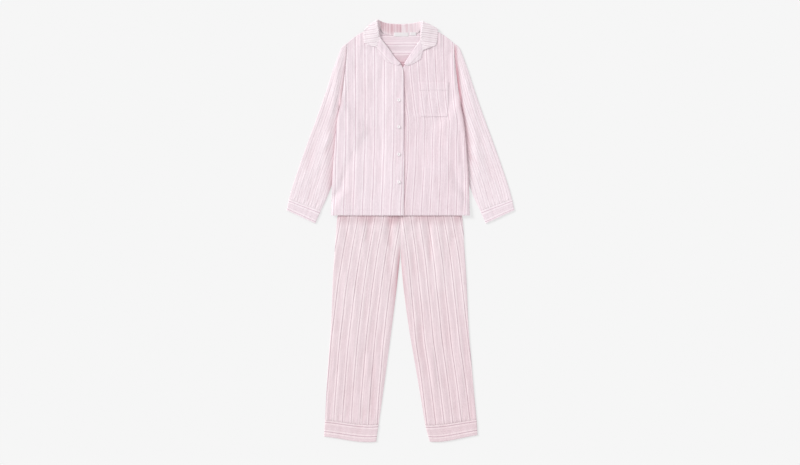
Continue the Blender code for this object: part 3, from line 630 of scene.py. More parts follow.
def armhole_line(share):
    """Places along the armhole, from the armpit to the shoulder tip."""
    y = ARMPIT_Y + (TIP_Y - ARMPIT_Y) * share
    return side_half(y) + 0.5 * PLY + ARMHOLE_GAP, y


def sleeve_heights_of(mirrored):
    """A sleeve's two panels: level with the shirt at the armhole, then down under its side."""
    seed = 61 if mirrored else 51
    stand = RIDGE_LEFT if mirrored else RIDGE_RIGHT

    def heights(x, y, share, number):
        to_cuff = len(SLEEVE) - number
        beyond = x - side_half(y)
        low = 0.5 * CLOTH + (1 - ease(number)) * shirt_lift(x + BODY_X, y)
        apart = mix(LAYER, pressed(share), ease(number))
        puff = SLEEVE_PUFF * ease((beyond - 6) / 30) * 4 * share * (1 - share) * ease(to_cuff / 3)
        ridge = stand.height * bell(beyond - stand.out, stand.width) * ease((beyond - 3) / 16)
        ridge = ridge * ease((y - 150) / 120) * (0.8 + 0.4 * grain(x, y, 80, 65, seed))
        ridge = ridge * ease((1 - share) / 0.2) * ease(to_cuff / 2.2)
        groove = 1.1 * bell(beyond, 2.4) * (1 - ease(number - 0.2))
        creases = folds_height(SLEEVE_CREASES, x, y + SLEEVE_SHIFT * mirrored)
        creases = creases + crinkles(x, y, -0.33, seed + 1)
        soft = ease((beyond + 2) / 18) * ease(share / 0.1) * ease((1 - share) / 0.08)
        relief = creases * ease(to_cuff / 0.3) + gathers(share, y, to_cuff, 58, 21, 0.42, 0.12, seed + 6)
        relief = soft * relief
        # Painted shadow in a band on the sleeve beside the body, and painted shade in the troughs.
        if mirrored:
            wide = through([285, 389], [21, 15], y)
            painted_shadow_beside = ease((wide - beyond) / 12) * lookup(LEFT_ARMHOLE_SHADE, "y", "tone", y)
        else:
            wide = through([560, 620], [8, 3.5], y) + 5 * bell(y - 190, 45)
            painted_shadow_beside = 0.95 * fading(beyond, wide) * ease((y - 90) / 60)
        painted_shadow_beside = painted_shadow_beside * ease((beyond + 2) / 3) * ease((668 - y) / 40)
        painted_shadow_beside = painted_shadow_beside * (0.9 + 0.2 * grain(x, y, 90, 50, seed + 9))
        return low, low + apart + puff + ridge + relief - groove, painted_shadow_beside + trough_shade(relief)

    return heights


def sleeve_weave(x, y, share, number, width, up):
    """A sleeve's stripes run along its outer fold and close up a little towards the shoulder."""
    lean = math.radians(SLEEVE_LEAN)
    fan = 1.0 - SLEEVE_FAN * ease((y - 430) / 200)
    out = (lookup(SLEEVE_FOLD, "y", "out", y) - x) * math.cos(lean) / fan
    return np.sign(up + 1e-6) * (out - SLEEVE_STRIPE), x * math.sin(lean) - y * math.cos(lean)


def cuff_weave(rows):
    """A cuff's stripes run round it, parallel to its seam."""
    def weave(x, y, share, number, width, up):
        steps = [math.hypot(b.inner_x - a.inner_x, b.inner_y - a.inner_y) for a, b in zip(rows, rows[1:])]
        down = through(np.arange(len(rows)), np.concatenate([[0], np.cumsum(steps)]), number)
        return down - CUFF_STRIPE, share * width

    return weave


def cuff_heights(wall, seed, dusk=0.0):
    """The two panels of a cuff or band, crinkled across; `dusk` adds painted shade to it, and its troughs
    get painted shade too.
    """
    def heights(x, y, share, number):
        low = np.full_like(x, 0.5 * wall)
        near = ease(share / 0.06) * ease((1 - share) / 0.06)
        run = share * 120
        crossways = 0.35 * grain(run, number, 5, 1.1, seed) + 0.45 * grain(run, number, 14, 2.2, seed + 1)
        return low, low + LAYER + near * (crossways + 0.35), dusk + trough_shade(crossways)

    return heights


def leg_heights_of(leg):
    """A leg's two panels, the lower one flat on the surface and the upper one with its folds."""
    def heights(x, y, share, number):
        to_cuff = len(leg.rows) - 1 - number
        low = np.full_like(x, 0.5 * CLOTH)
        apart = mix(LAYER, pressed(share), ease(number - CROTCH_ROW + 0.5))
        broad = folds_height(TROUSER_FOLDS, x, y) * ease((y + 672) / 60)
        broad = broad * ease(share / EDGE_SHARE) * ease((1 - share) / EDGE_SHARE)
        near = ease(share / 0.05) * ease((1 - share) / 0.05)
        free = 0.3 + 0.7 * ease((64 - y) / 26)
        flap = leg.flap * bell(x - 12, 11) * ease((y + 50) / 60) * ease((46 - y) / 22)
        relief = crinkles(x, y, leg.lean, leg.seed) * (0.5 + 0.5 * free)
        relief = relief + folds_height(TROUSER_CREASES, x, y) * free + flap
        small = relief * ease(to_cuff / 0.06) + gathers(share, y, to_cuff, 74, 17, 0.09, 0.03, leg.seed + 6)
        small = near * small
        top = low + apart + broad + small
        # Under the shirt's hem the upper panel lies just below the shirt's back.
        against_hem = 0.5 * CLOTH + TROUSER_LIFT - PLY - HEM_GAP
        top = top + (against_hem - top) * ease((y - 22) / 30) * ease((100 - y) / 30) * near
        # Painted shade: deeper towards the cuff, painted shadow under the crotch and under the shirt's hem,
        # shade in the troughs, and a little painted light on the fly's raised seam.
        within = np.abs(x - by_row(leg.rows, "inner_x", number))
        shade = leg.dusk * (0.2 + 0.8 * ease((-60 - y) / 520))
        shade = shade + leg.crotch * lookup(CROTCH_SHADE, "y", "tone", y) * np.exp(-within / 5)
        shade = shade + 0.45 * ease((y - 10) / 46) * (0.8 + 0.5 * grain(x, y, 34, 60, leg.seed + 8))
        shade = shade + 0.3 * bell(x + 26, 18) * ease((y - 6) / 40)
        return low, top, shade + trough_shade(small + 0.6 * broad + flap) - 0.06 * flap

    return heights


def leg_weave(leg):
    """A leg's stripes: those of the upper panel go on round the outer fold."""
    def weave(x, y, share, number, width, up):
        on_top = striped(leg.stripes, x, y)
        fold_x, fold_y = (by_row(leg.rows, name, number) for name in ("outer_x", "outer_y"))
        return np.where(up >= 0, on_top, 2 * striped(leg.stripes, fold_x, fold_y) - on_top), y

    return weave


def front(name, rows, stripes, side, over, flat):
    """One front: from its front edge or roll line to the side seam, the armhole and the shoulder."""
    section = turned_edge(56, CROWDED)
    rising = turned_edge(150)
    last = len(rows) - 1

    def place(u, v):
        share, sideways, up = pick(section, u)
        number, back_off, up_top = pick(rising, v)
        number = number * last
        side_y, edge_x, edge_y = (by_row(rows, field, number) for field in FrontRow._fields)
        # Below the armpit the side turns down to its seam, and above it it stays level.
        seamed = ease((ARMPIT_Y - side_y) / 12)
        step = mix(1 - up, sideways, seamed)
        up = 1 + (up - 1) * seamed
        half = side_half(side_y)
        across = BODY_X + side * half - edge_x
        width = np.abs(across)
        share = (share * (width - BEND) + step * BEND) / width
        x = edge_x + across * share
        y = edge_y + (side_y - edge_y) * share
        # The top row follows the shoulder, where the cloth turns down to meet the yoke.
        top = rows[-1]
        top_x = top.edge_x + (BODY_X + side * TIP_HALF - top.edge_x) * share
        shoulder = top_edge(np.abs(top_x - BODY_X)) - top.edge_y - (TIP_Y - top.edge_y) * share
        inward = (1 - back_off) * BEND * ease(number - last + 1)
        x = x - side * SHOULDER_SIN * inward
        y = y + ease((number - last + 4) / 4) * shoulder - SHOULDER_COS * inward
        axis = back_middle(x, y) + BEND
        z = axis + (front_middle(x, y, over) - axis) * np.minimum(up, up_top)
        rim = half - np.abs(x - BODY_X)
        # Painted shade: in the troughs, at the armpit, and on the under front beside the placket's edge and
        # beside its side.
        painted_shade = 0.03 + trough_shade(front_relief(x, y, over))
        painted_shade = painted_shade + 0.8 * fading(rim, 3) * bell(y - ARMPIT_Y - 6, 20)
        if not over:
            painted_shade = painted_shade + 0.1 + 0.5 * fading(x - 10, 6) * ease((572 - y) / 20)
            painted_shade = painted_shade + 0.5 * fading(half + BODY_X - x, 5) * ease((480 - y) / 60) * ease((y - 60) / 90)
        return x, y, z, striped(stripes, x, y), y, painted_shade

    cloth(name, len(section) - 1, len(rising) - 1, place, PLY, shirt_cotton, flat)


def back():
    """The back, from the hem to the yoke, its side edges turned up to meet the fronts."""
    edge = turned_edge(30, CROWDED)
    section = np.concatenate([edge[:0:-1] * (-1, -1, 1), edge])
    heights = [y for y in LOW_ROWS if y < YOKE_Y] + [YOKE_Y - SEAM]

    def place(u, v):
        share, sideways, up = pick(section, u)
        y = through(np.arange(len(heights)), heights, v * (len(heights) - 1))
        seamed = ease((ARMPIT_Y - y) / 12)
        step = mix(np.sign(share) * (1 - up), sideways, seamed)
        up = 1 + (up - 1) * seamed
        x = BODY_X + share * (side_half(y) - BEND) + step * BEND
        return x, y, back_middle(x, y) + BEND * (1 - up), x + 10, y, np.zeros_like(x)

    cloth("shirt_back_cloth", len(section) - 1, 80, place, PLY, shirt_cotton, (0.484, 0.492))


def yoke():
    """The back yoke, from its seam to the neckline and the shoulders."""
    outs = np.array(YOKE_OUTS + [-out for out in YOKE_OUTS[-2::-1]], float)
    outs = through(np.arange(len(outs)), outs, np.linspace(0, len(outs) - 1, 4 * (len(outs) - 1) + 1))
    rising = turned_edge(34)

    def place(u, v):
        out = outs[np.rint(u * (len(outs) - 1)).astype(int)]
        share, back_off, up = pick(rising, v)
        side_y = YOKE_Y + (TIP_Y - YOKE_Y) * share
        y = YOKE_Y + (top_edge(np.abs(out)) - YOKE_Y) * share
        at_shoulder = ease((np.abs(out) - 66) / 26)
        inward = (1 - back_off) * BEND * ease((share - 0.75) * 4) * (0.4 + 0.6 * at_shoulder)
        x = BODY_X + out / TIP_HALF * side_half(side_y) - np.sign(out) * SHOULDER_SIN * inward
        y = y - SHOULDER_COS * inward
        soft = 0.5 * crinkles(y, x, 0.0, 71) * ease((share - 0.02) / 0.1) * ease((1 - share) / 0.12)
        soft = soft * ease((62 - np.abs(out)) / 10)
        z = np.maximum(back_middle(x, y) + BEND * (1 - up) * at_shoulder + soft, 0.5 * CLOTH)
        # Painted shade, deepening towards the point of the neck's V and towards the left.
        painted_shade = 0.05 + 0.42 * ease((630 - y) / 24) + 0.45 * ease((602 - y) / 14)
        painted_shade = painted_shade + 0.15 * ease((10 - x) / 60)
        return x, y, z, (y - YOKE_STRIPE_Y) * REPEAT / YOKE_REPEAT, x, painted_shade + trough_shade(soft)

    cloth("back_yoke_cloth", len(outs) - 1, len(rising) - 1, place, PLY, shirt_cotton, (0.39, 0.164))


def collar_station(number):
    """The collar's section at a station number, with how it bends; the right half has negative numbers."""
    right = number < 0
    at = np.abs(number)
    moved = np.where(right, ease((at - SHIFT_FROM) / SHIFT_OVER), 0.0)
    fallen = np.where(right, ease((at - 4) / 3.5) * (1 - 0.5 * ease((at - 10) / 2)), 0.0)
    points = []
    for key, shift, spread in zip("nrme", RIGHT_SHIFTS, RIGHT_SPREADS):
        x, y, z = (by_row(COLLAR_HALF, key + axis, at) for axis in "xyz")
        x = x + moved * shift.out + fallen * spread.out
        y = y + moved * shift.y + fallen * spread.y
        points.append(np.stack([BODY_X + np.where(right, -1.0, 1.0) * x, y, z], 1))
    return *points, by_row(COLLAR_HALF, "bend", at)[:, None], by_row(COLLAR_HALF, "flat", at)[:, None]


def collar_point(number, place):
    """A point of the collar: station number, and place from 0 at the neck seam to 4 at the edge."""
    neck, roll, middle, edge, bend, flat = collar_station(number)
    axis = unit(roll - 0.5 * (neck + middle))
    turn = middle - neck
    turn = unit(turn - axis * np.sum(axis * turn, 1, keepdims=True))
    centre = roll - bend * axis
    place = place[:, None]
    angle = np.clip(place - 1, 0, 1) * math.pi
    hairpin = centre + bend * (np.sin(angle) * axis - np.cos(angle) * turn)
    straight = neck + (middle - neck) * FLAT_SHARE * np.clip(place, 0, 2) * 0.5
    rolled = np.where(place < 1, neck + (centre - bend * turn - neck) * place, hairpin)
    # The stand rolls over, but is straight where the collar lies flat on a front.
    inner = mix(rolled, straight, flat)
    start = mix(centre + bend * turn, neck + (middle - neck) * FLAT_SHARE, flat)
    t = np.clip(place - 2, 0, 2) * 0.5
    pull = 2 * middle - 0.5 * (start + edge)
    fall = start * (1 - t) ** 2 + pull * 2 * t * (1 - t) + edge * t * t
    points = np.where(place <= 2, inner, fall)
    points[:, 2] = np.maximum(points[:, 2], 0.5 * COLLAR)
    # Its front ends stay above the fronts, and their outer edge rests on them.
    rest = front_middle(points[:, 0], points[:, 1], False) + pressed_on(COLLAR_PLIES)
    held = np.maximum(points[:, 2], rest + 0.5 * (1 - flat[:, 0]))
    held = mix(held, rest, ease((place[:, 0] - 2.9) / 1.1))
    points[:, 2] = mix(points[:, 2], held, ease(np.abs(number) - ON_FRONT_FROM))
    return points


def collar():
    """The collar: one band that stands at the neck, rolls over and falls on the shoulders."""
    places = np.concatenate([np.linspace(0, 1, 9)[:-1], np.linspace(1, 2, 9)[:-1], np.linspace(2, 4, 15)])
    last = len(COLLAR_HALF) - 1

    def place(u, v):
        number = (2 * v - 1) * last
        at = np.abs(number)
        spot = places[np.rint(u * (len(places) - 1)).astype(int)]
        x, y, z = collar_point(number, spot).T
        run = np.sign(number) * through(np.arange(last + 1), COLLAR_RUN, at)
        down = np.interp(spot, [0, 1, 2, 4], [0, 22, 30, 70])
        # Painted shade on the stand, darker to the left and in painted pleat shadows, and on the fall behind
        # the neck.
        pleat_shade = np.sin(run * 2 * math.pi / PLEAT + 1.6 * grain(run, down, 24, 60, 41))
        pleat_shade = pleat_shade + grain(run, down, 8, 50, 42)
        stand = np.clip(0.85 - 0.6 * (x + 70) / 140 + 0.3 * pleat_shade, 0, 1.2) * ease((1.5 - spot) / 0.5)
        stand = stand * ease((9.6 - at) / 1.2) * (0.3 + 0.7 * ease((spot + 0.1) / 0.6))
        stand = stand * (1 - 0.5 * ease((-66 - x) / 12))
        behind = ease((-number - 2) / 1.5) * ease((6.5 + number) / 1.5)
        painted_shade = stand + (0.3 * behind + 0.06 * ease(x / 40)) * ease((spot - 2.0) / 0.8)
        level = COLLAR_LEVEL - y - COLLAR_SLOPE * np.abs(x)
        on_fall = ease((spot - 1.8) / 0.5) * ease((at - 2.5) / 2.5)
        return x, y, z, mix(run, np.sign(number) * level, on_fall), down, painted_shade

    cloth("collar_cloth", len(places) - 1, 12 * last, place, COLLAR_PLIES, collar_cotton, (0.42, 0.107))


def lapel(name, rows, fronts, over, flat):
    """A turned-out front edge, rolled over the front's own roll line."""
    bend = 0.5 * CLOTH + LAPEL_AIR + 0.5 * DOUBLE
    rolled = [(0.0, step, up) for step, up in arc(6, 185, 90)]
    section = np.array(rolled + [(share, 0.0, 1.0) for share in np.linspace(0, 1, 17)[1:]])

    def lie(number, share, step, up):
        """Place of a point: row number, share of the width, and its step and rise round the roll."""
        roll_y, edge_x, edge_y = (by_row(rows, field, number) for field in LapelRow._fields)
        roll_x = lookup(fronts, "edge_y", "edge_x", roll_y)
        width = np.hypot(edge_x - roll_x, edge_y - roll_y)
        share = share + (step * bend - ROLL_GAP * (share == 0)) / width
        x = roll_x + (edge_x - roll_x) * share
        y = roll_y + (edge_y - roll_y) * share
        x = x + (-1 if over else 1) * LAPEL_MEETS * (1 - np.clip(share, 0, 1)) * np.exp(-number / 0.45)
        puff = LAPEL_PUFF * np.clip(4 * share * (1 - share), 0, 1) * width / 50
        rise = mix(bend * up + puff, pressed_on(TWO_PLIES), ease((share - 0.5) / 0.5))
        return x, y, front_middle(x, y, over) + rise

    def place(u, v):
        x, y, z = lie(v * (len(rows) - 1), *pick(section, u))
        lean = LAPEL_LEAN if over else -LAPEL_LEAN
        # The last value is painted shade, a little more on the lapel over the other front.
        return x, y, z, x * math.cos(lean) + y * math.sin(lean), y, np.full_like(x, 0.07 if over else 0.02)

    cloth(name, len(section) - 1, 40, place, TWO_PLIES, facing_cotton, flat)
    down = np.linspace(0.1, len(rows) - 1.1, 80)
    x, y, z = lie(down, np.full_like(down, LAPEL_STITCHED), np.zeros_like(down), np.ones_like(down))
    edge = np.stack([x, y, z + 0.5 * TWO_PLIES + THREAD_LIES], 1)
    stitching(name.replace("cloth", "stitches"), [edge])


def pocket_sides(y):
    """Left and right of the pocket at a height."""
    down = (POCKET_TOP.y - y) / (POCKET_TOP.y - POCKET_FOOT.y)
    return mix(POCKET_TOP.left, POCKET_FOOT.left, down), mix(POCKET_TOP.right, POCKET_FOOT.right, down)


def patch(name, foot, top, wall, along, flat):
    """A part of the pocket on the under front, between two heights."""
    def place(u, v):
        y = foot + (top - foot) * v
        x = mix(*pocket_sides(y), u)
        slack = 0.5 * ease(u / 0.05) * ease((1 - u) / 0.05) * (1 + 0.8 * grain(x, y, 22, 30, 81))
        z = front_middle(x, y, False) + pressed_on(wall) + slack
        # The last value is painted shade over the pocket and in its troughs.
        return x, y, z, striped(STRIPES_FRONT_LEFT, x, y), y, 0.1 + trough_shade(front_relief(x, y, False))

    cloth(name, 30, along, place, wall, shirt_cotton, flat)


def ribbon(name, label):
    """A bare woven label on the neck seam, its ends turned under."""
    def place(u, v):
        x = label.left + (label.right - label.left) * u
        y = label.foot + (label.top - label.foot) * v
        turned = ease(np.minimum(u, 1 - u) / 0.06)
        z = label.height - 0.5 * (1 - turned) + 0.25 * np.sin(u * 5 + 1) * (1 - v) - LABEL_LEANS * (1 - v)
        return x, y, z, x, y, np.zeros_like(x)

    flat = ((label.right - label.left) * MM, (label.top - label.foot) * MM)
    cloth(name, 24, 8, place, LABEL_WALL, label_satin, flat)


# ---------------------------------------------------------------- sewing thread
STITCH = 2.3  # length of a stitch
STITCH_GAP = 0.8  # from its end to the next one
STITCH_GIRTHS = (0.189, 0.42, 0.189)  # of one stitch at its start, middle and end
THREAD_SIDES = 5  # flats round a thread
THREAD_LIES = 0.1  # from the face of doubled cloth to the middle of a thread on it
THREAD_ON_FRONT = 0.12  # the same on the fronts
LAPEL_STITCHED = 0.9  # where a lapel's edge stitching runs, as a share of its width
COLLAR_STITCHED = 3.75  # where the collar's runs, its outer edge being at 4
COLLAR_END = 11.85  # station at which it turns along the collar's front end
EDGE_STITCH = 2.2  # from the pocket's edges to their stitching
POCKET_STANDS = 0.95  # height of the pocket's face over the front
PLACKET_STITCH_X = -20.0
HEM_STITCH_Y = 75.0


def threads(name, bars, girths):
    """Short threads, each a thin closed tube along its points with a girth at each of them."""
    bm = bmesh.new()
    turns = 2 * math.pi * np.arange(THREAD_SIDES)[:, None] / THREAD_SIDES
    for bar in bars:
        rings = []
        for k, point in enumerate(bar):
            ahead = unit(bar[min(k + 1, len(bar) - 1)] - bar[max(k - 1, 0)])
            aside = unit(np.cross((0.0, 0.0, 1.0), ahead))
            ring = point + 0.5 * girths[k] * (np.cos(turns) * aside + np.sin(turns) * np.cross(ahead, aside))
            rings.append([bm.verts.new(spot) for spot in (ring + SET_OFFSET) * MM])
        for low, high in zip(rings, rings[1:]):
            for j in range(THREAD_SIDES):
                m = (j + 1) % THREAD_SIDES
                bm.faces.new((low[j], high[j], high[m], low[m]))
        bm.faces.new(rings[0])
        bm.faces.new(rings[-1][::-1])
    add_piece(name, bm, pale_thread).data.shade_smooth()


def stitching(name, paths):
    """Rows of lockstitches along paths of points."""
    bars = []
    for path in paths:
        run = np.concatenate([[0.0], np.cumsum(np.linalg.norm(np.diff(path, axis=0), axis=1))])
        for start in np.arange(0.4, run[-1] - STITCH, STITCH + STITCH_GAP):
            spots = start + STITCH * np.array([0.0, 1.0])
            a, b = np.stack([np.interp(spots, run, path[:, k]) for k in range(3)], 1)
            bars.append([a, 0.5 * (a + b), b])
    threads(name, bars, STITCH_GIRTHS)


def laid_on(x, y, over, above=0.0):
    """Points lying on one of the fronts, or on a patch that stands above it."""
    x, y = np.broadcast_arrays(np.asarray(x, float), np.asarray(y, float))
    return np.stack([x, y, front_middle(x, y, over) + 0.5 * PLY + THREAD_ON_FRONT + above], 1)


def round_cuff(rows, seed, number, side=1.0, middle=0.0):
    """Points lying across the upper panel of a cuff, at one row number."""
    share = np.linspace(0.03, 0.97, 60)
    number = np.full_like(share, number)
    x, y = between([row_line(row, share) for row in rows], number)
    high = cuff_heights(DOUBLE, seed)(x, y, share, number)[1]
    return np.stack([middle + side * x, y, high + 0.5 * TWO_PLIES + THREAD_LIES], 1)


def seams():
    """All the stitching that shows, apart from the lapels'."""
    stitching("shirt_stitches", [
        laid_on(PLACKET_STITCH_X, np.arange(58, 562, 4.0), True),
        laid_on(np.arange(-238, 9, 4.0), HEM_STITCH_Y, True),
        laid_on(np.arange(12, 234, 4.0), HEM_STITCH_Y, False),
    ])
    y = np.linspace(POCKET_TOP.y - 1, POCKET_FOOT.y + EDGE_STITCH, 30)
    left, right = pocket_sides(y)
    foot_x = np.linspace(POCKET_FOOT.left + EDGE_STITCH, POCKET_FOOT.right - EDGE_STITCH, 30)
    hem_x = np.linspace(POCKET_TOP.left + EDGE_STITCH + 1, POCKET_TOP.right - EDGE_STITCH - 1, 30)
    stitching("pocket_stitches", [
        laid_on(left + EDGE_STITCH, y, False, POCKET_STANDS),
        laid_on(foot_x, y[-1], False, POCKET_STANDS),
        laid_on(right - EDGE_STITCH, y, False, POCKET_STANDS),
        laid_on(hem_x, POCKET_TOP.y - POCKET_HEM + 1.5, False, POCKET_STANDS + 0.3),
    ])
    for name, side in SIDES.items():
        number = side * np.concatenate([np.linspace(7, COLLAR_END, 70), np.full(25, COLLAR_END)])
        spot = np.concatenate([np.full(70, COLLAR_STITCHED), np.linspace(COLLAR_STITCHED, 2.6, 25)])
        edge = collar_point(number, spot) + (0, 0, 0.5 * COLLAR_PLIES + THREAD_LIES)
        stitching(f"collar_stitches_{name}", [edge])
        paths = [round_cuff(SLEEVE_CUFF, SLEEVE_CUFF_SEED, at, side, BODY_X) for at in (0.12, 1.88)]
        stitching(f"sleeve_cuff_stitches_{name}", paths)
    for name, leg in LEGS.items():
        paths = [round_cuff(leg.cuff, LEG_CUFF_SEED, at) for at in (0.1, 1.9)]
        stitching(f"leg_cuff_stitches_{name}", paths)


# ---------------------------------------------------------------- materials
SHADE_TINT = (0.76, 0.56, 0.59)  # painted shade: what the cloth's colour is multiplied by where its painted shade is full
STRIPE_SOFT = 0.012  # how softly a stripe's edges fade, as a share of a repeat
Stripe = namedtuple("Stripe", "ground white line")
SHIRT_COLOURS = Stripe((0.812, 0.70, 0.75), (0.885, 0.79, 0.83), (0.69, 0.54, 0.61))
# The trousers' colours are the shirt's made a little deeper.
TROUSER_COLOURS = Stripe((0.7836, 0.6615, 0.6975), (0.8685, 0.7607, 0.7859), (0.5983, 0.4583, 0.5115))
SLEEVE_COLOURS = Stripe((0.828, 0.718, 0.762), (0.868, 0.775, 0.812), (0.76, 0.632, 0.688))
FACING_COLOURS = Stripe((0.83, 0.715, 0.77), (0.855, 0.765, 0.805), (0.79, 0.66, 0.72))
COLLAR_COLOURS = Stripe((0.82, 0.722, 0.758), (0.89, 0.81, 0.845), (0.755, 0.64, 0.685))


def new_material(name):
    """A new material, with a function that adds a node to it and one that sets its shader."""
    material = bpy.data.materials.new(name)
    material.use_nodes = True
    tree = material.node_tree

    def feed(node, values, named):
        """Links or sets a node's inputs, in their order and by name with _ for a space."""
        places = list(enumerate(values)) + [(key.replace("_", " "), value) for key, value in named.items()]
        for place, value in places:
            if isinstance(value, bpy.types.NodeSocket):
                tree.links.new(value, node.inputs[place])
            else:
                node.inputs[place].default_value = value

    def add(kind, *values, output=0, **named):
        """The output of a new node; names in small letters are its settings, the others its inputs."""
        node = tree.nodes.new("ShaderNode" + kind)
        for key in [key for key in named if key.islower()]:
            setattr(node, key, named.pop(key))
        feed(node, values, named)
        return node.outputs[output]

    def shade(**named):
        """Sets the shader's inputs."""
        feed(tree.nodes["Principled BSDF"], (), named)

    return material, add, shade


def set_stripes(elements, stripe, line_to, white_to):
    """A colour ramp's stops, from the middle of a dark stripe to the middle of the next."""
    half = [
        (0.0, stripe.line), (line_to - STRIPE_SOFT, stripe.line), (line_to + STRIPE_SOFT, stripe.white),
        (white_to - STRIPE_SOFT, stripe.white), (white_to + STRIPE_SOFT, stripe.ground),
    ]
    stops = half + [(1 - at, colour) for at, colour in half[::-1]]
    while len(elements) < len(stops):
        elements.new(0.5)
    for element, (at, colour) in zip(elements, stops):
        element.position = at
        element.color = (*colour, 1.0)


def striped_cotton(name, stripe, repeat=REPEAT, line_to=0.043, white_to=0.205):
    """Brushed cotton with woven stripes, its fine plain weave, slubs and a little uneven tone, darkened by
    each piece's painted shade.
    """
    material, add, shade = new_material(name)
    uv = add("UVMap", uv_map="weave")
    where = add("TexCoord", output="Object")

    def noise(vector, scale, detail):
        """Noise on a vector."""
        return add("TexNoise", Vector=vector, Scale=scale, Detail=detail)

    def on_threads(across, along, detail):
        """Noise drawn out along the threads."""
        return noise(add("Mapping", Vector=uv, Scale=(across, along, 1.0)), 1.0, detail)

    def toned(value, low, high):
        """Noise as a tone between two levels."""
        return add("MapRange", value, 0.3, 0.7, low, high)

    def times(first, second):
        """The product of two numbers."""
        return add("Math", first, second, operation="MULTIPLY")

    across = add("Math", noise(uv, 9.0, 2.0), 0.0016, add("SeparateXYZ", uv), operation="MULTIPLY_ADD")
    stripes = add("ValToRGB", add("Math", times(across, 1.0 / (repeat * MM)), operation="FRACT"))
    set_stripes(stripes.node.color_ramp.elements, stripe, line_to, white_to)
    slow = times(toned(noise(where, 14.0, 4.0), 0.98, 1.0), toned(on_threads(260.0, 7.0, 3.0), 0.96, 1.04))
    tone = times(slow, toned(on_threads(1500.0, 90.0, 3.0), 0.93, 1.03))
    colour = add("VectorMath", stripes, Scale=tone, operation="SCALE")
    # Painted shade: the colour is multiplied towards the tint of full painted shade, as far as the piece's
    # painted shade goes.
    painted_shade = add("Attribute", attribute_name="painted_shade", output="Color")
    loss = tuple(channel - 1.0 for channel in SHADE_TINT)
    deep = add("VectorMath", painted_shade, loss, (1.0, 1.0, 1.0), operation="MULTIPLY_ADD")
    weft, warp = (
        add("TexWave", Vector=uv, Scale=scale, Distortion=1.0, bands_direction=axis, output="Fac")
        for scale, axis in ((520.0, "X"), (470.0, "Y"))
    )
    weave = add("Math", weft, warp, operation="ADD")
    rough = add("Math", noise(where, 420.0, 3.0), 1.6, weave, operation="MULTIPLY_ADD")
    woven = add("Bump", Height=rough, Strength=0.25, Distance=0.0004)
    creased = add("Bump", Height=on_threads(150.0, 22.0, 4.0), Strength=0.55, Distance=0.0016, Normal=woven)
    shade(
        Base_Color=add("VectorMath", colour, deep, operation="MULTIPLY"), Normal=creased,
        Roughness=0.92, Specular_IOR_Level=0.2, Sheen_Weight=0.18, Sheen_Roughness=0.45,
    )
    return material


def varied(add, shade, colour, tone, relief, strength, **values):
    """Shades a material in one colour with a varying tone and a fine relief."""
    shade(
        Base_Color=add("VectorMath", colour, Scale=tone, operation="SCALE"),
        Normal=add("Bump", Height=relief, Strength=strength, Distance=0.0001), **values,
    )


def plain_thread(name, colour):
    """Matt polyester sewing thread with its ply twist."""
    material, add, shade = new_material(name)
    where = add("TexCoord", output="Object")
    twist = add(
        "TexWave", Vector=where, Scale=900.0, Distortion=2.0, bands_direction="DIAGONAL", output="Fac"
    )
    varied(add, shade, colour, add("MapRange", twist, To_Min=0.88, To_Max=1.0), twist, 0.3, Roughness=0.6)
    return material


def satin(name, colour):
    """The satin weave of a bare label."""
    material, add, shade = new_material(name)
    uv = add("UVMap", uv_map="weave")
    ribs = add("TexWave", Vector=uv, Scale=300.0, Distortion=0.4, bands_direction="Y", output="Fac")
    floats = add("Mapping", Vector=uv, Scale=(160.0, 1800.0, 1.0))
    slub = add("TexNoise", Vector=floats, Scale=1.0, Detail=2.0)
    tone = add("MapRange", slub, To_Min=0.9, To_Max=1.02)
    varied(add, shade, colour, tone, ribs, 0.2, Roughness=0.42, Sheen_Weight=0.1)
    return material


def shell(name, colour):
    """The pearly plastic of a shirt button."""
    material, add, shade = new_material(name)
    cloud = add("TexNoise", Vector=add("TexCoord", output="Object"), Scale=160.0, Detail=3.0, Distortion=1.2)
    tone = add("MapRange", cloud, 0.3, 0.7, 0.93, 1.05)
    varied(add, shade, colour, tone, cloud, 0.05, Roughness=0.24, Coat_Weight=0.3, Coat_Roughness=0.1)
    return material


shirt_cotton = striped_cotton("striped_cotton", SHIRT_COLOURS)
trouser_cotton = striped_cotton("striped_trouser_cotton", TROUSER_COLOURS)
sleeve_cotton = striped_cotton("striped_sleeve_cotton", SLEEVE_COLOURS, 0.5 * REPEAT, 0.088, 0.3)
facing_cotton = striped_cotton("facing_cotton", FACING_COLOURS)
collar_cotton = striped_cotton("collar_cotton", COLLAR_COLOURS, COLLAR_REPEAT, 0.11, 0.36)
pale_thread = plain_thread("pale_thread", (0.83, 0.74, 0.78))
label_satin = satin("label_satin", (0.79, 0.755, 0.77))
button_shell = shell("button_shell", (0.92, 0.87, 0.89))


# ---------------------------------------------------------------- buttons
RIM = 1.25  # width of a button's level rim
SLOPE = 0.7  # width of the slope from the rim down to the dished middle
DISH = 0.55  # how deep the middle lies
ROUNDED = 0.45  # width of the bevel on its edges
HOLE = 1.5
HOLE_SPREAD = 1.35  # from the middle of a button to each of its holes, both ways
CROSS_GIRTH = 0.38  # of the thread in its holes
CROSS_STEP = 0.3  # between the turns of this thread
BUTTON_OFF = 0.15  # between a button and the cloth under it
BUTTONHOLE_LENGTH = 15.0
BUTTONHOLE_HALF = 1.3  # half its width over the stitches
SLIT_HALF = 0.35  # half the width of its slit
TACK = 1.2  # how far the bars close it at both ends
BAR_STEP = 0.55  # from one bar of thread to the next
BAR_GIRTH = 0.45


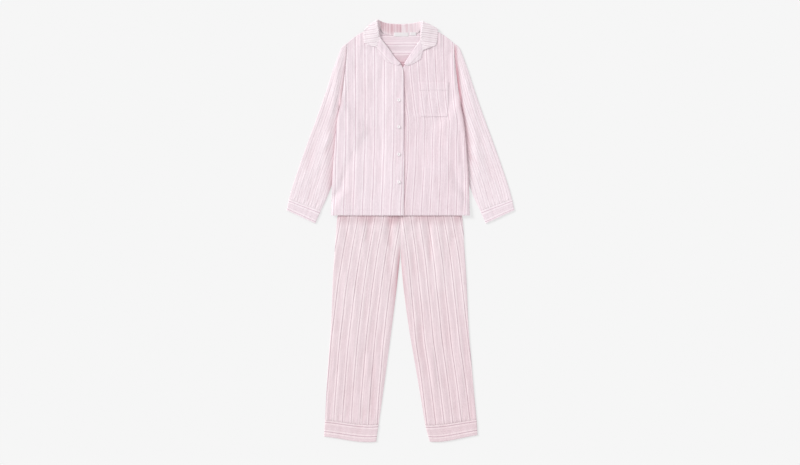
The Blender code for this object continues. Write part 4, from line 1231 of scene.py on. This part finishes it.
def button_blank():
    """A four-holed button with a rounded rim and a dished middle, its middle at the origin."""
    bpy.ops.object.select_all(action="DESELECT")
    bpy.ops.mesh.primitive_cylinder_add(
        vertices=48, radius=0.5 * BUTTON_DIAMETER * MM, depth=BUTTON_THICKNESS * MM, location=(0, 0, 0)
    )
    blank = bpy.context.active_object
    bpy.ops.object.mode_set(mode="EDIT")
    bpy.ops.mesh.select_all(action="DESELECT")
    bm = bmesh.from_edit_mesh(blank.data)
    for face in bm.faces:
        face.select_set(face.normal.z > 0.9)
    bmesh.update_edit_mesh(blank.data)
    bpy.ops.mesh.inset(thickness=RIM * MM, depth=0)
    bpy.ops.mesh.inset(thickness=SLOPE * MM, depth=0)
    bpy.ops.transform.translate(value=(0, 0, -DISH * MM))
    bpy.ops.object.mode_set(mode="OBJECT")
    round_edges(blank, ROUNDED, 3, 20)
    for across in (-HOLE_SPREAD, HOLE_SPREAD):
        for along in (-HOLE_SPREAD, HOLE_SPREAD):
            bpy.ops.mesh.primitive_cylinder_add(
                vertices=16, radius=0.5 * HOLE * MM, depth=10 * MM, location=(across * MM, along * MM, 0)
            )
            drill = bpy.context.active_object
            cut = blank.modifiers.new("hole", "BOOLEAN")
            cut.operation = "DIFFERENCE"
            cut.object = drill
            apply_modifiers(blank)
            bpy.data.objects.remove(drill)
    bpy.ops.object.select_all(action="DESELECT")
    blank.select_set(True)
    bpy.context.view_layer.objects.active = blank
    bpy.ops.object.shade_smooth_by_angle(angle=math.radians(35))
    return blank


def buttonhole(name, middle):
    """The close bars of thread round an upright buttonhole."""
    bars = []
    end = 0.5 * BUTTONHOLE_LENGTH
    for along in np.arange(-end, end + 0.1, BAR_STEP):
        near = SLIT_HALF if abs(along) < end - TACK else 0.0
        for side in (-1, 1):
            x = BUTTON_X + side * np.array([near, 0.5 * (near + BUTTONHOLE_HALF), BUTTONHOLE_HALF])
            y = np.full_like(x, middle + along)
            bars.append(np.stack([x, y, front_middle(x, y, True) + 0.5 * PLY + (0.1, 0.3, 0.05)], 1))
    threads(name, bars, [BAR_GIRTH] * 3)


def buttons():
    """The four buttons, each with the cross of thread in its holes, and their buttonholes."""
    blank = button_blank()
    across = np.linspace(-1, 1, 7)
    for number, y in enumerate(BUTTON_Y, 1):
        height = front_middle(np.array([BUTTON_X]), np.array([y]), True)[0]
        middle = height + 0.5 * PLY + BUTTON_OFF + 0.5 * BUTTON_THICKNESS
        piece = bpy.data.objects.new(f"button_{number}_shell", blank.data.copy())
        bpy.context.collection.objects.link(piece)
        piece.data.transform(Matrix.Translation((np.array([BUTTON_X, y, middle]) + SET_OFFSET) * MM))
        piece.data.materials.clear()
        piece.data.materials.append(button_shell)
        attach(piece, "root")
        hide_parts(f"button_{number}")
        face = middle + 0.5 * BUTTON_THICKNESS - DISH + 0.15
        z = face + 0.3 * np.cos(0.5 * math.pi * across) - 0.5 * across**6
        bars = []
        for shift in (-CROSS_STEP, 0.0, CROSS_STEP):
            for slant in (1, -1):
                thread_x = BUTTON_X + HOLE_SPREAD * across - slant * shift
                bars.append(np.stack([thread_x, y + HOLE_SPREAD * slant * across + shift, z], 1))
        threads(f"button_{number}_thread", bars, [CROSS_GIRTH] * len(across))
        buttonhole(f"buttonhole_{number}", y)
    bpy.data.objects.remove(blank)


# ---------------------------------------------------------------- the set
def shirt():
    """Every piece of the shirt, apart from its stitching and buttons."""
    yoke()
    back()
    front("front_left_cloth", FRONT_UNDER, STRIPES_FRONT_LEFT, 1.0, False, (0.268, 0.655))
    front("front_right_cloth", FRONT_OVER, STRIPES_FRONT_RIGHT, -1.0, True, (0.256, 0.655))
    lapel("lapel_right_cloth", LAPEL_ON_OVER, FRONT_OVER, True, (0.042, 0.13))
    lapel("lapel_left_cloth", LAPEL_ON_UNDER, FRONT_UNDER, False, (0.034, 0.11))
    collar()
    seam_y = POCKET_TOP.y - POCKET_HEM
    patch("pocket_cloth", POCKET_FOOT.y, seam_y - 0.5 * SEAM, POCKET_WALL, 26, (0.108, 0.093))
    patch("pocket_hem_cloth", seam_y, POCKET_TOP.y, POCKET_HEM_WALL, 8, (0.11, 0.0285))
    ribbon("neck_label_ribbon", NECK_LABEL)
    ribbon("size_tag_ribbon", SIZE_TAG)
    for name, side in SIDES.items():
        tube(f"sleeve_{name}_cloth", SLEEVE, sleeve_heights_of(name == "left"), sleeve_weave, PLY,
             sleeve_cotton, 34, 130, (0.275, 0.57), side=side, middle=BODY_X, armhole=True)
        tube(f"sleeve_cuff_{name}_cloth", SLEEVE_CUFF, cuff_heights(DOUBLE, SLEEVE_CUFF_SEED),
             cuff_weave(SLEEVE_CUFF), TWO_PLIES, shirt_cotton, 30, 14, (0.24, 0.049),
             side=side, middle=BODY_X)


def trousers():
    """Every piece of the trousers, apart from their stitching."""
    for name, leg in LEGS.items():
        tube(f"leg_{name}_cloth", leg.rows, leg_heights_of(leg), leg_weave(leg), PLY, trouser_cotton,
             50, 165, (0.47, 0.835))
        tube(f"leg_cuff_{name}_cloth", leg.cuff, cuff_heights(DOUBLE, LEG_CUFF_SEED, leg.dusk),
             cuff_weave(leg.cuff), TWO_PLIES, trouser_cotton, 40, 16, (0.38, 0.062))
    tube("waistband_cloth", WAISTBAND, cuff_heights(BAND, 99), cuff_weave(WAISTBAND), BAND_PLIES,
         trouser_cotton, 80, 12, (0.65, 0.038))


# ---------------------------------------------------------------- floor, light and camera
FLOOR_ALBEDO = 0.32
FLOOR_GLOW = 0.556  # the floor is a lit table, which keeps shadows on it faint
KEY = 2.35  # strength of the key light
KEY_ELEVATION = 28.0  # its angles, in degrees
KEY_AZIMUTH = 150.0
KEY_SPREAD = 20.0  # angle that it fills in the sky, in degrees
FILL = 0.79  # strength of the light from all round
VIEW_WIDTH = 2.8  # metres of floor across the camera's view
SENSOR = 36.0  # width of the camera's sensor
CAMERA_PLACE = (-0.0018, -0.0053, 6.0)


def stage():
    """A plain pale floor, a soft key light, an even fill and a camera straight above."""
    bpy.ops.object.select_all(action="DESELECT")
    bpy.ops.mesh.primitive_plane_add(size=40.0, location=(0, 0, 0))
    floor = bpy.context.active_object
    floor.name = "floor"
    material, add, shade = new_material("pale_floor")
    cloud = add("TexNoise", Vector=add("TexCoord", output="Object"), Scale=3.0, Detail=2.0)
    shade(
        Base_Color=add("MapRange", cloud, To_Min=FLOOR_ALBEDO - 0.002, To_Max=FLOOR_ALBEDO + 0.002),
        Roughness=1.0, Specular_IOR_Level=0.0,
        Emission_Color=(1.0, 1.0, 1.0, 1.0), Emission_Strength=FLOOR_GLOW,
    )
    floor.data.materials.append(material)

    world = bpy.data.worlds.new("studio")
    world.use_nodes = True
    background = world.node_tree.nodes["Background"]
    background.inputs["Color"].default_value = (1.0, 1.0, 1.0, 1.0)
    background.inputs["Strength"].default_value = FILL
    bpy.context.scene.world = world
    sun = bpy.data.lights.new("key", "SUN")
    sun.energy = KEY
    sun.angle = math.radians(KEY_SPREAD)
    key = bpy.data.objects.new("key", sun)
    elevation = math.radians(KEY_ELEVATION)
    azimuth = math.radians(KEY_AZIMUTH)
    level = math.cos(elevation)
    towards = Vector((level * math.cos(azimuth), level * math.sin(azimuth), math.sin(elevation)))
    key.rotation_euler = towards.to_track_quat("Z", "Y").to_euler()
    key.location = towards * 3.0
    bpy.context.collection.objects.link(key)

    lens = bpy.data.cameras.new("camera")
    lens.type = "PERSP"
    lens.sensor_width = SENSOR
    lens.lens = SENSOR * CAMERA_PLACE[2] / VIEW_WIDTH
    lens.clip_end = 100.0
    camera = bpy.data.objects.new("camera", lens)
    camera.location = CAMERA_PLACE
    bpy.context.collection.objects.link(camera)
    bpy.context.scene.camera = camera
    bpy.context.scene.view_settings.view_transform = "Standard"


trousers()
shirt()
buttons()
seams()
stage()
